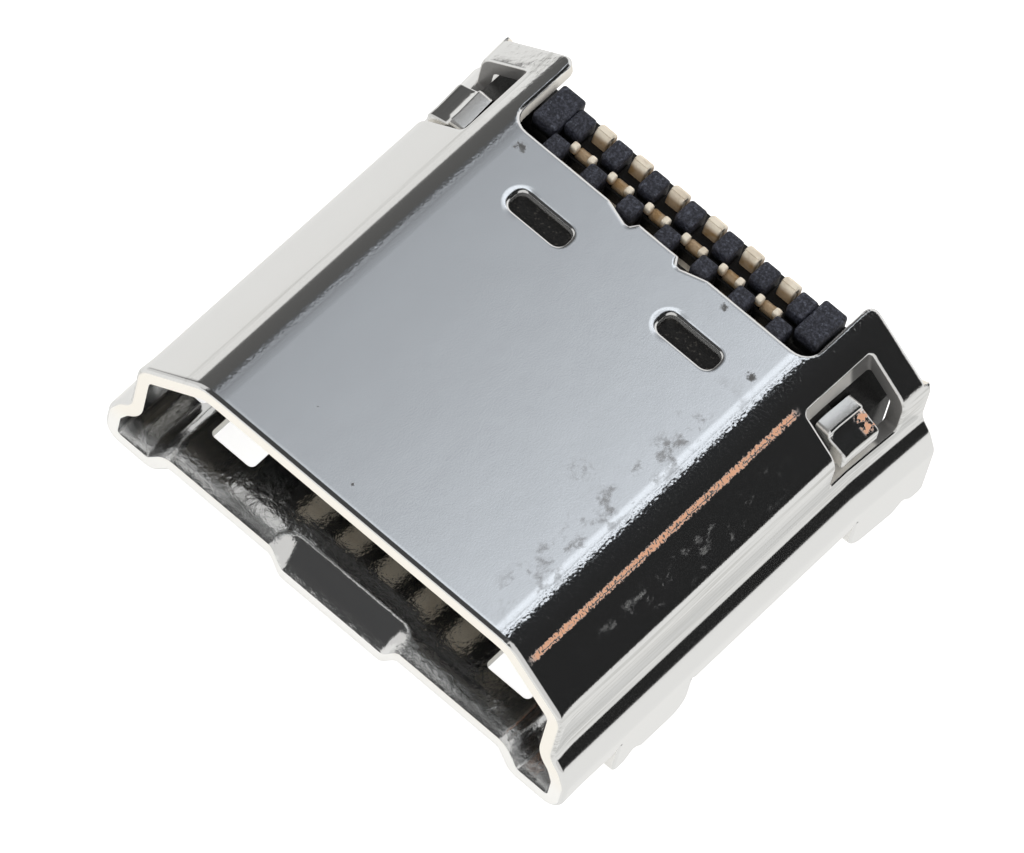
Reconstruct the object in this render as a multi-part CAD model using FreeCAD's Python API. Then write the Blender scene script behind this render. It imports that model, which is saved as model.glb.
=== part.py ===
import FreeCAD, Part
import math
import os

from FreeCAD import Vector

# Phone charging port: a folded steel shell around a moulded tongue with eleven contacts.
# Millimetres. X runs across the mouth, Y from the mouth to the solder tails, Z up.
# While it is built, Y is 0 at the mouth and Z is 0 under the legs.

# Sheet of the shell and the opening that takes the plug
sheet = 0.24
opening_width = 6.90
opening_height = 1.87
shell_depth = 7.45

# Outside form of the shell, seen from the mouth
top_flat_width = 5.352
chamfer_drop = 0.74
wall_height = 0.88
skirt_out = 0.34
skirt_drop = 0.48
gutter_drop = 0.33
gutter_inset = 0.86
gutter_slope = 0.25
leg_reach = 0.76
top_bend = 0.42
side_bend = 0.36
skirt_bend = 0.25
step_bend = 0.38
gutter_bend = 0.30
floor_bend = 0.10

# Flared mouth and the scoop in the middle of its lower lip
flare_length = 0.40
side_flare = 0.03
floor_flare = 0.07
scoop_width = 1.70
scoop_shoulder = 0.30
scoop_depth = 0.32

# Sides that stand out a little at the back
splay = 0.09
splay_length = 1.50

# Cuts in the shell
plate_setback = 1.405
wing_gap_width = 5.20
wing_corner = 0.28
wing_setback = 0.08
wing_end_round = 0.16
notch_near = 0.35
notch_width = 0.51
notch_depth = 0.14
notch_flank = 0.09
slot_spacing = 2.60
slot_setback = 0.895
slot_length = 1.04
slot_width = 0.42
latch_spacing = 4.85
latch_width = 0.75
latch_length = 1.20
latch_place = 0.66
floor_overhang = 0.10
floor_gap_width = 5.00
window_setback = 0.53
window_length = 1.34
window_inset = 0.66
window_drop = 1.40
tab_relief = 0.17
tab_length = 0.70
tab_jog = 0.33
tab_top_drop = 0.60
tab_shoulder = 0.13

# Legs that are bent down from the gutters
leg_width = 1.48
leg_place = 1.16
leg_near_corner = 0.12
leg_far_corner = 0.30
leg_notch_place = 0.42
leg_notch_width = 0.34
leg_notch_depth = 0.16
leg_relief = 0.06
leg_root_drop = 0.14

# Moulded tongue and body
mould_clearance = 0.02
tongue_width = 3.50
tongue_thickness = 0.60
tongue_gap = 0.33
tongue_tip = 0.90
tongue_chamfer = 0.12
body_lead = 0.15
body_gap = 0.055
boss_clearance = 0.04
boss_recess = 0.10

# Moulded comb at the back
comb_width = 5.00
comb_length = 0.95
comb_recess = 0.12
pocket_width = 0.36
pocket_length = 0.32
pocket_depth = 0.95
channel_length = 0.15
channel_depth = 0.20
bar_length = 0.23
groove_depth = 0.20
end_recess_length = 0.28
end_recess_depth = 0.45
end_block_width = 0.44
end_block_step = 0.13

# Contacts
pitch = 0.65
upper_count = 6
lower_count = 5
contact_thickness = 0.12
upper_width = 0.32
shoulder_width = 0.42
shoulder_rise = 0.03
shoulder_length = 0.13
lower_width = 0.34
tail_width = 0.18
tail_length = 0.55
contact_bend = 0.06
contact_setback = 0.03
upper_tip = 1.40
lower_tip = 1.05
upper_recess = 0.20
lower_drop_setback = 0.40

# Heights and depths worked out from the sizes above
floor_under = leg_reach
floor_top = floor_under + sheet
ceiling = floor_top + opening_height
top = ceiling + sheet
half_width = opening_width / 2 + sheet
skirt_half = half_width + skirt_out
plate_length = shell_depth - plate_setback
slot_place = plate_length - slot_setback
window_rear = shell_depth - window_setback
window_front = window_rear - window_length
tab_front = window_front + tab_relief
body_front = slot_place - body_lead
body_back = plate_length + body_gap
floor_length = body_back + floor_overhang
lower_drop_place = body_back + lower_drop_setback
comb_back = body_back + comb_length
overall_length = comb_back + tail_length
comb_top = top - comb_recess
contact_top = top - upper_recess
tongue_top = ceiling - tongue_gap
tongue_bottom = tongue_top - tongue_thickness
margin = 0.5


def block(x0, x1, y0, y1, z0, z1):
    """Box between two corners."""
    return Part.makeBox(x1 - x0, y1 - y0, z1 - z0, Vector(x0, y0, z0))


def mirrored(shape):
    """Copy of a shape on the other side of the middle plane."""
    return shape.mirror(Vector(0, 0, 0), Vector(1, 0, 0))


def both_sides(shape):
    """A shape and its mirror image."""
    return [shape, mirrored(shape)]


def offset_points(points, distances, closed):
    """Move each side of an outline to its right by its own distance."""
    count = len(points)
    sides = count if closed else count - 1
    moved = []
    for i in range(sides):
        x0, z0 = points[i]
        x1, z1 = points[(i + 1) % count]
        length = math.hypot(x1 - x0, z1 - z0)
        nx = (z1 - z0) / length * distances[i]
        nz = -(x1 - x0) / length * distances[i]
        moved.append(((x0 + nx, z0 + nz), (x1 + nx, z1 + nz)))
    result = []
    for i in range(count):
        if not closed and i == 0:
            result.append(moved[0][0])
        elif not closed and i == count - 1:
            result.append(moved[-1][1])
        else:
            result.append(meeting_point(moved[i - 1], moved[i % sides]))
    return result


def meeting_point(first, second):
    """Where two lines meet, or their shared end when they are in line."""
    (ax, az), (bx, bz) = first
    (cx, cz), (dx, dz) = second
    cross = (bx - ax) * (dz - cz) - (bz - az) * (dx - cx)
    if abs(cross) < 1e-9:
        return ((bx + cx) / 2, (bz + cz) / 2)
    along = ((cx - ax) * (dz - cz) - (cz - az) * (dx - cx)) / cross
    return (ax + along * (bx - ax), az + along * (bz - az))


def rounded_edges(points, radii, place, closed=True):
    """Lines and tangent arcs through the corners of an outline.

    place turns the two coordinates of the outline into a point in space.
    """
    count = len(points)
    ends = []
    for i in range(count):
        corner = Vector(points[i][0], points[i][1], 0)
        if radii[i] <= 0 or (not closed and i in (0, count - 1)):
            ends.append((corner, None, corner))
            continue
        before = Vector(points[i - 1][0], points[i - 1][1], 0) - corner
        after = Vector(points[(i + 1) % count][0], points[(i + 1) % count][1], 0) - corner
        angle = before.getAngle(after)
        before.normalize()
        after.normalize()
        reach = radii[i] / math.tan(angle / 2)
        bisector = before + after
        bisector.normalize()
        crown = corner + bisector * (radii[i] / math.sin(angle / 2) - radii[i])
        ends.append((corner + before * reach, crown, corner + after * reach))
    edges = []
    for i in range(count):
        start, crown, stop = ends[i]
        if crown is not None:
            edges.append(Part.Arc(place(start), place(crown), place(stop)).toShape())
        if closed or i < count - 1:
            following = ends[(i + 1) % count][0]
            edges.append(Part.makeLine(place(stop), place(following)))
    return edges


def section_wire(points, radii, y):
    """Closed outline across the connector at a depth y."""
    edges = rounded_edges(points, radii, lambda p: Vector(p.x, y, p.y))
    return Part.Wire(edges)


def shell_outline():
    """Outer corners of the folded sheet, clockwise from the top right, with their radii."""
    side_top = top - chamfer_drop
    side_bottom = side_top - wall_height
    gutter_bottom = floor_under - gutter_drop
    scoop_half = scoop_width / 2
    right = [
        (top_flat_width / 2, top, top_bend),
        (half_width, side_top, side_bend),
        (half_width, side_bottom, skirt_bend),
        (skirt_half, side_bottom - skirt_drop, step_bend),
        (skirt_half, gutter_bottom, gutter_bend),
        (skirt_half - gutter_inset, gutter_bottom, gutter_bend),
        (skirt_half - gutter_inset - gutter_slope, floor_under, floor_bend),
        (scoop_half + scoop_shoulder, floor_under, 0),
        (scoop_half, floor_under, 0),
    ]
    left = [(-x, z, r) for x, z, r in reversed(right)]
    corners = right + left
    return [(x, z) for x, z, r in corners], [r for x, z, r in corners]


def inner_radii(points, radii):
    """Inside bend radii: less by the sheet on an outer bend, more on an inner one."""
    count = len(points)
    result = []
    for i in range(count):
        ax, az = points[i - 1]
        bx, bz = points[i]
        cx, cz = points[(i + 1) % count]
        turn = (bx - ax) * (cz - bz) - (bz - az) * (cx - bx)
        if radii[i] <= 0:
            result.append(0)
        elif turn < 0:
            result.append(max(radii[i] - sheet, radii[i] / 8))
        else:
            result.append(radii[i] + sheet)
    return result


def flare_distances():
    """How far each side of the outline stands out at the mouth."""
    right = [0, side_flare, 0, 0, floor_flare, floor_flare, floor_flare, floor_flare]
    return right + [floor_flare] + right[::-1] + [0]


def splay_distances():
    """How far each side of the outline stands out at the back."""
    right = [0, splay, splay, splay, 0, 0, 0, 0]
    return right + [0] + right[::-1] + [0]


def splayed(points):
    """Outline at the back, with its side walls a little further apart."""
    return offset_points(points, [-d for d in splay_distances()], True)


def flared(points):
    """Outline at the mouth, with the scoop pressed into its lower lip."""
    moved = offset_points(points, [-d for d in flare_distances()], True)
    scoop_half = scoop_width / 2
    result = []
    for (x, z), (base_x, base_z) in zip(moved, points):
        if abs(base_x) <= scoop_half + 1e-6 and base_z < ceiling:
            result.append((base_x, z - scoop_depth))
        else:
            result.append((x, z))
    return result


def shell_tube():
    """The folded sheet with its flared mouth, before anything is cut."""
    outer, radii = shell_outline()
    inner = offset_points(outer, [sheet] * len(outer), True)
    inside = inner_radii(outer, radii)
    back = shell_depth - splay_length
    places = [(flared, 0), (list, flare_length), (list, back), (splayed, shell_depth)]
    lengths = []
    for (form, y), (next_form, next_y) in zip(places, places[1:]):
        outside = [section_wire(form(outer), radii, y), section_wire(next_form(outer), radii, next_y)]
        hollow = [section_wire(form(inner), inside, y), section_wire(next_form(inner), inside, next_y)]
        lengths.append(Part.makeLoft(outside, True, True).cut(Part.makeLoft(hollow, True, True)))
    return lengths[0].fuse(lengths[1:]).removeSplitter()


def rounded_prism(points, radii, z0, z1):
    """Prism that stands on a rounded outline in the XY plane."""
    edges = rounded_edges(points, radii, lambda p: Vector(p.x, p.y, z0))
    return Part.Face(Part.Wire(edges)).extrude(Vector(0, 0, z1 - z0))


def plate_end_cut():
    """What is missing behind the top plate, between the two wings."""
    half = wing_gap_width / 2
    far = half_width + margin
    wing_end = shell_depth - wing_setback
    back = shell_depth + margin
    near = notch_near
    points = [
        (-far, back), (-far, wing_end), (-half, wing_end), (-half, plate_length),
        (-near - notch_width, plate_length), (-near - notch_flank, plate_length - notch_depth),
        (-near, plate_length), (near, plate_length),
        (near + notch_flank, plate_length - notch_depth), (near + notch_width, plate_length),
        (half, plate_length), (half, wing_end), (far, wing_end), (far, back),
    ]
    ends = [0, 0, wing_end_round, wing_corner]
    radii = ends + [0, 0.03, 0.03, 0.03, 0.03, 0] + ends[::-1]
    return rounded_prism(points, radii, top - chamfer_drop, top + margin)


def slot_cut(x):
    """Rounded slot through the top plate."""
    half = slot_length / 2
    wide = slot_width / 2
    points = [(x - half, slot_place - wide), (x + half, slot_place - wide),
              (x + half, slot_place + wide), (x - half, slot_place + wide)]
    return rounded_prism(points, [slot_width * 0.38] * 4, ceiling - sheet, top + margin)


def side_prism(points, y0, y1):
    """Prism along Y with a straight-sided outline of x and z."""
    corners = [Vector(x, y0, z) for x, z in points]
    face = Part.Face(Part.makePolygon(corners + corners[:1]))
    return face.extrude(Vector(0, y1 - y0, 0))


def window_cut():
    """Opening in the chamfer and side wall of one side, around its tab."""
    inner_x = half_width - window_inset
    lean = 0.05
    far = skirt_half + margin
    low = top - window_drop
    sill = top - chamfer_drop - side_bend / 4
    whole = [(inner_x - lean, top), (far, top), (far, low), (half_width - 2 * sheet, low),
             (half_width - 2 * sheet, ceiling - 2 * sheet), (inner_x + lean, ceiling - 2 * sheet)]
    upper = [(inner_x - lean, top), (far, top), (far, sill), (half_width - 2 * sheet, sill),
             (inner_x + lean, ceiling - 2 * sheet)]
    tab_rear = tab_front + tab_length
    front_relief = side_prism(whole, window_front, tab_front)
    rear_relief = side_prism(whole, tab_rear, window_rear)
    return [front_relief, side_prism(upper, tab_front, tab_rear), rear_relief]


def side_tab():
    """Tongue of sheet that jogs inwards from the side wall and grips the moulding."""
    sill = top - chamfer_drop - side_bend / 4
    free_end = top - tab_top_drop
    inner = half_width - sheet
    points = [
        (half_width, sill - sheet), (half_width, sill), (half_width - tab_jog, sill + tab_shoulder),
        (half_width - tab_jog, free_end), (inner - tab_jog, free_end),
        (inner - tab_jog, sill + tab_shoulder - sheet), (inner, sill - sheet),
    ]
    return side_prism(points, tab_front, tab_front + tab_length)


def leg_plate(notched_end, direction):
    """One leg: a rounded plate with a small notch near one end of its lower edge.

    It runs from the end that has the notch towards +Y or -Y.
    """
    root = top - chamfer_drop - wall_height - skirt_drop - leg_root_drop
    half_notch = leg_notch_width / 2
    outline = [
        (0, root), (0, 0), (leg_notch_place - half_notch, 0), (leg_notch_place, leg_notch_depth),
        (leg_notch_place + half_notch, 0), (leg_width, 0), (leg_width, root),
    ]
    radii = [0, leg_near_corner, 0.04, 0.05, 0.04, leg_far_corner, 0]
    points = [(notched_end + direction * along, z) for along, z in outline]
    edges = rounded_edges(points, radii, lambda p: Vector(skirt_half - sheet, p.x, p.y))
    return Part.Face(Part.Wire(edges)).extrude(Vector(sheet, 0, 0))


def legs():
    """The two legs of one side. The rear one follows the splay of the wall."""
    front = leg_plate(leg_place, 1)
    rear = leg_plate(shell_depth, -1)
    hinge = Vector(skirt_half, shell_depth - splay_length, 0)
    rear.rotate(hinge, Vector(0, 0, 1), -math.degrees(math.atan2(splay, splay_length)))
    return [front, rear]


def leg_places():
    """Front ends of the two legs of one side."""
    return [leg_place, shell_depth - leg_width]


def leg_opening(y0):
    """Hole that a leg leaves in the gutter that it was bent from."""
    inner_x = skirt_half - gutter_inset - gutter_slope
    low = floor_under - gutter_drop - margin
    return block(inner_x + leg_relief, skirt_half - sheet, y0 - leg_relief,
                 y0 + leg_width + leg_relief, low, floor_top)


def latch_window(x):
    """Hole in the floor for a latch of the plug."""
    half = latch_width / 2
    return block(x - half, x + half, latch_place, latch_place + latch_length,
                 floor_under - margin, floor_top + sheet)


def floor_end_cut():
    """What is missing behind the floor, where the solder tails come down."""
    half = floor_gap_width / 2
    return block(-half, half, floor_length, shell_depth + margin, floor_under - margin,
                 floor_top + sheet)


def outer_shell():
    """Folded steel shell with legs, wings, slots, windows and tabs."""
    cuts = [plate_end_cut(), floor_end_cut()]
    cuts += [slot_cut(side * slot_spacing / 2) for side in (-1, 1)]
    cuts += [latch_window(side * latch_spacing / 2) for side in (-1, 1)]
    for opening in window_cut() + [leg_opening(y0) for y0 in leg_places()]:
        cuts += both_sides(opening)
    body = shell_tube().cut(cuts)
    added = []
    for piece in [side_tab()] + legs():
        added += both_sides(piece)
    return body.fuse(added).removeSplitter()


def moulding_outline(clearance):
    """Outline of a moulding that fills the shell between floor and top plate."""
    points = [
        (top_flat_width / 2, top), (half_width, top - chamfer_drop), (half_width, floor_under),
        (-half_width, floor_under), (-half_width, top - chamfer_drop), (-top_flat_width / 2, top),
    ]
    return offset_points(points, [sheet + clearance] * len(points), True)


def moulding_slab(y0, y1):
    """Slab of the moulding between two depths."""
    return side_prism(moulding_outline(mould_clearance), y0, y1)


def contact_centres(count):
    """Places across the connector of a row of contacts."""
    return [(i - (count - 1) / 2) * pitch for i in range(count)]


def ribbon(path, x, width):
    """Flat strip of contact metal that follows a path of depth and height."""
    half = contact_thickness / 2
    steps = len(path) - 1
    one = offset_points(path, [half] * steps, False)
    other = offset_points(path, [-half] * steps, False)
    radii_one = [0] + ribbon_radii(path, 1) + [0]
    radii_other = [0] + ribbon_radii(path, -1) + [0]
    outline = one + other[::-1]
    radii = radii_one + radii_other[::-1]
    edges = rounded_edges(outline, radii, lambda p: Vector(x - width / 2, p.x, p.y))
    return Part.Face(Part.Wire(edges)).extrude(Vector(width, 0, 0))


def ribbon_radii(path, side):
    """Bend radii of one face of a strip, larger on the outside of each bend."""
    result = []
    for i in range(1, len(path) - 1):
        (ax, az), (bx, bz), (cx, cz) = path[i - 1], path[i], path[i + 1]
        turn = (bx - ax) * (cz - bz) - (bz - az) * (cx - bx)
        outside = turn * side > 0
        result.append(contact_bend + (contact_thickness if outside else 0))
    return result


def upper_contact(x):
    """Contact of the upper row, from the tongue over the comb and down its back."""
    half = contact_thickness / 2
    tongue_level = tongue_top - half
    high = contact_top - half
    rise = body_back + pocket_length + half
    drop = comb_back - contact_setback - half
    foot = floor_under + half
    run = [(upper_tip, tongue_level), (rise, tongue_level), (rise, high), (drop, high),
           (drop, foot + tail_length / 2)]
    tail = [(drop, foot + tail_length / 2), (drop, foot), (overall_length, foot)]
    strip = ribbon(run, x, upper_width).fuse(ribbon(tail, x, tail_width))
    shoulders = shoulder_lugs(x)
    return strip.fuse(shoulders).removeSplitter()


def shoulder_lugs(x):
    """Two small lugs on the edges of an upper contact where it leaves its pocket."""
    y0 = body_back + pocket_length - shoulder_rise
    y1 = y0 + shoulder_length
    bottom = contact_top - contact_thickness
    lug = (shoulder_width - upper_width) / 2
    outer = shoulder_width / 2
    right = block(x + outer - lug, x + outer, y0, y1, bottom, contact_top + shoulder_rise)
    left = block(x - outer, x - outer + lug, y0, y1, bottom, contact_top + shoulder_rise)
    return [left, right]


def lower_contact(x):
    """Contact of the lower row, along the underside of the tongue and down behind it."""
    half = contact_thickness / 2
    level = tongue_bottom + half
    foot = floor_under + half
    run = [(lower_tip, level), (body_back, level)]
    tail = [(body_back, level), (lower_drop_place, level), (lower_drop_place, foot),
            (overall_length, foot)]
    return ribbon(run, x, lower_width).fuse(ribbon(tail, x, tail_width)).removeSplitter()


def tongue():
    """Tongue that the plug slides over, with a bevelled tip."""
    half = tongue_width / 2
    cut = tongue_chamfer
    plan = [(-half, body_front), (-half, tongue_tip), (half, tongue_tip), (half, body_front)]
    blank = rounded_prism(plan, [0, 2 * cut, 2 * cut, 0], tongue_bottom, tongue_top)
    profile = [
        Vector(-half, tongue_tip, tongue_bottom + cut), Vector(-half, tongue_tip + cut, tongue_bottom),
        Vector(-half, body_front, tongue_bottom), Vector(-half, body_front, tongue_top),
        Vector(-half, tongue_tip + cut, tongue_top), Vector(-half, tongue_tip, tongue_top - cut),
    ]
    bevelled = Part.Face(Part.makePolygon(profile + profile[:1])).extrude(Vector(tongue_width, 0, 0))
    return blank.common(bevelled)


def slot_boss(x):
    """Boss of the moulding that stands in a slot of the top plate."""
    half = slot_length / 2 - boss_clearance
    wide = slot_width / 2 - boss_clearance
    points = [(x - half, slot_place - wide), (x + half, slot_place - wide),
              (x + half, slot_place + wide), (x - half, slot_place + wide)]
    return rounded_prism(points, [wide * 0.7] * 4, ceiling - sheet, top - boss_recess)


def tab_pocket():
    """Recess in the side of a moulding that a tab of the shell grips."""
    inner = half_width - sheet - tab_jog - mould_clearance
    return block(inner, half_width, tab_front - mould_clearance,
                 tab_front + tab_length + mould_clearance, floor_under, top)


def contact_housing(contacts):
    """Moulded tongue and body, with a seat for every contact that runs through it."""
    body = moulding_slab(body_front, body_back)
    bosses = [slot_boss(side * slot_spacing / 2) for side in (-1, 1)]
    solid = body.fuse([tongue()] + bosses).removeSplitter()
    return solid.cut(both_sides(tab_pocket()) + contacts)


def comb_blank():
    """Comb before its pockets: it fills the back and stands up between the wings."""
    slab = moulding_slab(body_back, comb_back)
    half = comb_width / 2
    raised = block(-half, half, body_back, comb_back, ceiling - 2 * sheet, comb_top)
    return slab.fuse(raised).removeSplitter()


def comb_cuts():
    """Pockets, channel, grooves and end recesses of the comb."""
    pocket_back = body_back + pocket_length
    channel_back = pocket_back + channel_length
    bar_back = channel_back + bar_length
    over = comb_top + margin
    groove_half = upper_width / 2 + mould_clearance
    cuts = []
    for x in contact_centres(upper_count):
        cuts.append(block(x - pocket_width / 2, x + pocket_width / 2, body_back, pocket_back,
                          comb_top - pocket_depth, over))
        cuts.append(block(x - groove_half, x + groove_half, bar_back, comb_back + margin,
                          contact_top - contact_thickness, over))
        cuts.append(block(x - groove_half, x + groove_half, comb_back - groove_depth,
                          comb_back + margin, floor_under, over))
    row_half = pitch * upper_count / 2 + pocket_width / 2
    cuts.append(block(-row_half, row_half, pocket_back, channel_back, comb_top - channel_depth, over))
    block_inner = comb_width / 2 - end_block_width
    for side in (block(block_inner, comb_width, body_back, body_back + end_recess_length,
                       comb_top - end_recess_depth, over),
                 block(-block_inner, block_inner, comb_back - end_block_step, comb_back + margin,
                       comb_top - channel_depth, over)):
        cuts += both_sides(side)
    return cuts


def rear_comb(contacts):
    """Moulded comb that spaces the contacts at the back and closes the shell."""
    return comb_blank().cut(comb_cuts() + both_sides(tab_pocket()) + contacts)


def build():
    """All the pieces of the port, by name."""
    pieces = {"outer_shell": outer_shell()}
    upper = [upper_contact(x) for x in contact_centres(upper_count)]
    lower = [lower_contact(x) for x in contact_centres(lower_count)]
    pieces["contact_housing"] = contact_housing(upper + lower)
    pieces["rear_comb"] = rear_comb(upper + lower)
    for i, solid in enumerate(upper):
        pieces[f"upper_contact_{i + 1}"] = solid
    for i, solid in enumerate(lower):
        pieces[f"lower_contact_{i + 1}"] = solid
    return pieces


def write(pieces):
    """Move the origin under the middle of the port and save each piece."""
    os.makedirs("parts", exist_ok=True)
    for name, shape in pieces.items():
        moved = shape.copy()
        moved.translate(Vector(0, -overall_length / 2, 0))
        box = moved.BoundBox
        print(f"{name}: {len(moved.Solids)} solid, {moved.Volume:.3f} mm3, valid {moved.isValid()}, "
              f"{box.XLength:.2f} x {box.YLength:.2f} x {box.ZLength:.2f} mm, z from {box.ZMin:.2f}")
        moved.exportStep(f"parts/{name}.step")


write(build())
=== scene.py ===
import logging
import math
from dataclasses import dataclass
from enum import Enum
from typing import Any, Sequence

import bmesh
import bpy
import numpy as np
from mathutils import Matrix, Vector
from mathutils.geometry import delaunay_2d_cdt


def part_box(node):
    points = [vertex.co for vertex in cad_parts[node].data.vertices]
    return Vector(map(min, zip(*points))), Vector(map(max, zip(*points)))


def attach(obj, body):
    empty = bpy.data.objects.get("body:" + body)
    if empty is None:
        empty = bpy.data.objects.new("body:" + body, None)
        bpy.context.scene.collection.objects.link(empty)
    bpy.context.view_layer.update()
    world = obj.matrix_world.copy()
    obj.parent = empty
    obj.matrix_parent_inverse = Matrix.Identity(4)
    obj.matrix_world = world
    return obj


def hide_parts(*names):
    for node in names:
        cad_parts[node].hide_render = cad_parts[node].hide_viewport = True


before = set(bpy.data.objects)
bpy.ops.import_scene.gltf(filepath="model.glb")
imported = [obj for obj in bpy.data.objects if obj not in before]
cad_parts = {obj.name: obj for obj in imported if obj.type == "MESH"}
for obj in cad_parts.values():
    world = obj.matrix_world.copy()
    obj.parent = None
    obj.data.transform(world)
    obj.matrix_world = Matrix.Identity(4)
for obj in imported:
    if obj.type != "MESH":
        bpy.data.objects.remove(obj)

MM = 0.001
# Distances in millimetres under which two places count as one.
NEAR, TOUCH, HAIR, SPECK = 1e-4, 1e-5, 1e-6, 1e-9
# Points that are measured against all edges at one time.
BATCH = 1500
# Shares of its radius at which a rounded box has lines beside an edge.
ROUND_LINES = (0.0, 0.27, 0.6, 1.0)
LOG = logging.getLogger("charging_port")

Pair = tuple[float, float]
Triple = tuple[float, float, float]
Face = tuple[int, ...]
Patch = tuple[np.ndarray, list[Face]]


class Channel(Enum):
    """Inputs of the surface shader that a finish sets."""

    COLOUR = "Base Color"
    METALLIC = "Metallic"
    ROUGHNESS = "Roughness"
    NORMAL = "Normal"


@dataclass(frozen=True)
class Pattern:
    """Cloudy noise.

    It has features per millimetre, octaves, their roughness, a stretch of the axes, and a
    step that sharpens it where one is given.
    """

    scale: float
    detail: float = 3.0
    rough: float = 0.6
    stretch: Triple = (1.0, 1.0, 1.0)
    step: Pair | None = None


class Value:
    """A number in a node tree, written like an ordinary number in an expression."""

    def __init__(self, tree: "Tree", link: Any) -> None:
        """Wrap one output socket.

        Args:
            tree: The tree that the socket belongs to.
            link: The output socket.
        """
        self.tree = tree
        self.link = link

    def _math(self, operation: str, *others: Any) -> "Value":
        """Result of one Math node on this value and others."""
        return self.tree.math(operation, self, *others)

    def __add__(self, other: Any) -> "Value":
        """This value plus another."""
        return self._math("ADD", other)

    __radd__ = __add__

    def __sub__(self, other: Any) -> "Value":
        """This value less another."""
        return self._math("SUBTRACT", other)

    def __rsub__(self, other: Any) -> "Value":
        """Another value less this one."""
        return self.tree.math("SUBTRACT", other, self)

    def __mul__(self, other: Any) -> "Value":
        """This value times another."""
        return self._math("MULTIPLY", other)

    __rmul__ = __mul__

    def __truediv__(self, other: Any) -> "Value":
        """This value over another."""
        return self._math("DIVIDE", other)

    def __abs__(self) -> "Value":
        """Size of this value without its sign."""
        return self._math("ABSOLUTE")

    def smaller(self, other: Any) -> "Value":
        """The lesser of this value and another."""
        return self._math("MINIMUM", other)

    def larger(self, other: Any) -> "Value":
        """The greater of this value and another."""
        return self._math("MAXIMUM", other)

    def rise(self, low: float, high: float) -> "Value":
        """Smooth step from 0 at low to 1 at high."""
        return self.tree.remap(self, low, high)

    def band(self, low: float, high: float, soft: float) -> "Value":
        """1 between low and high, with soft ends."""
        return self.rise(low - soft, low + soft) * (1 - self.rise(high - soft, high + soft))


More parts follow.
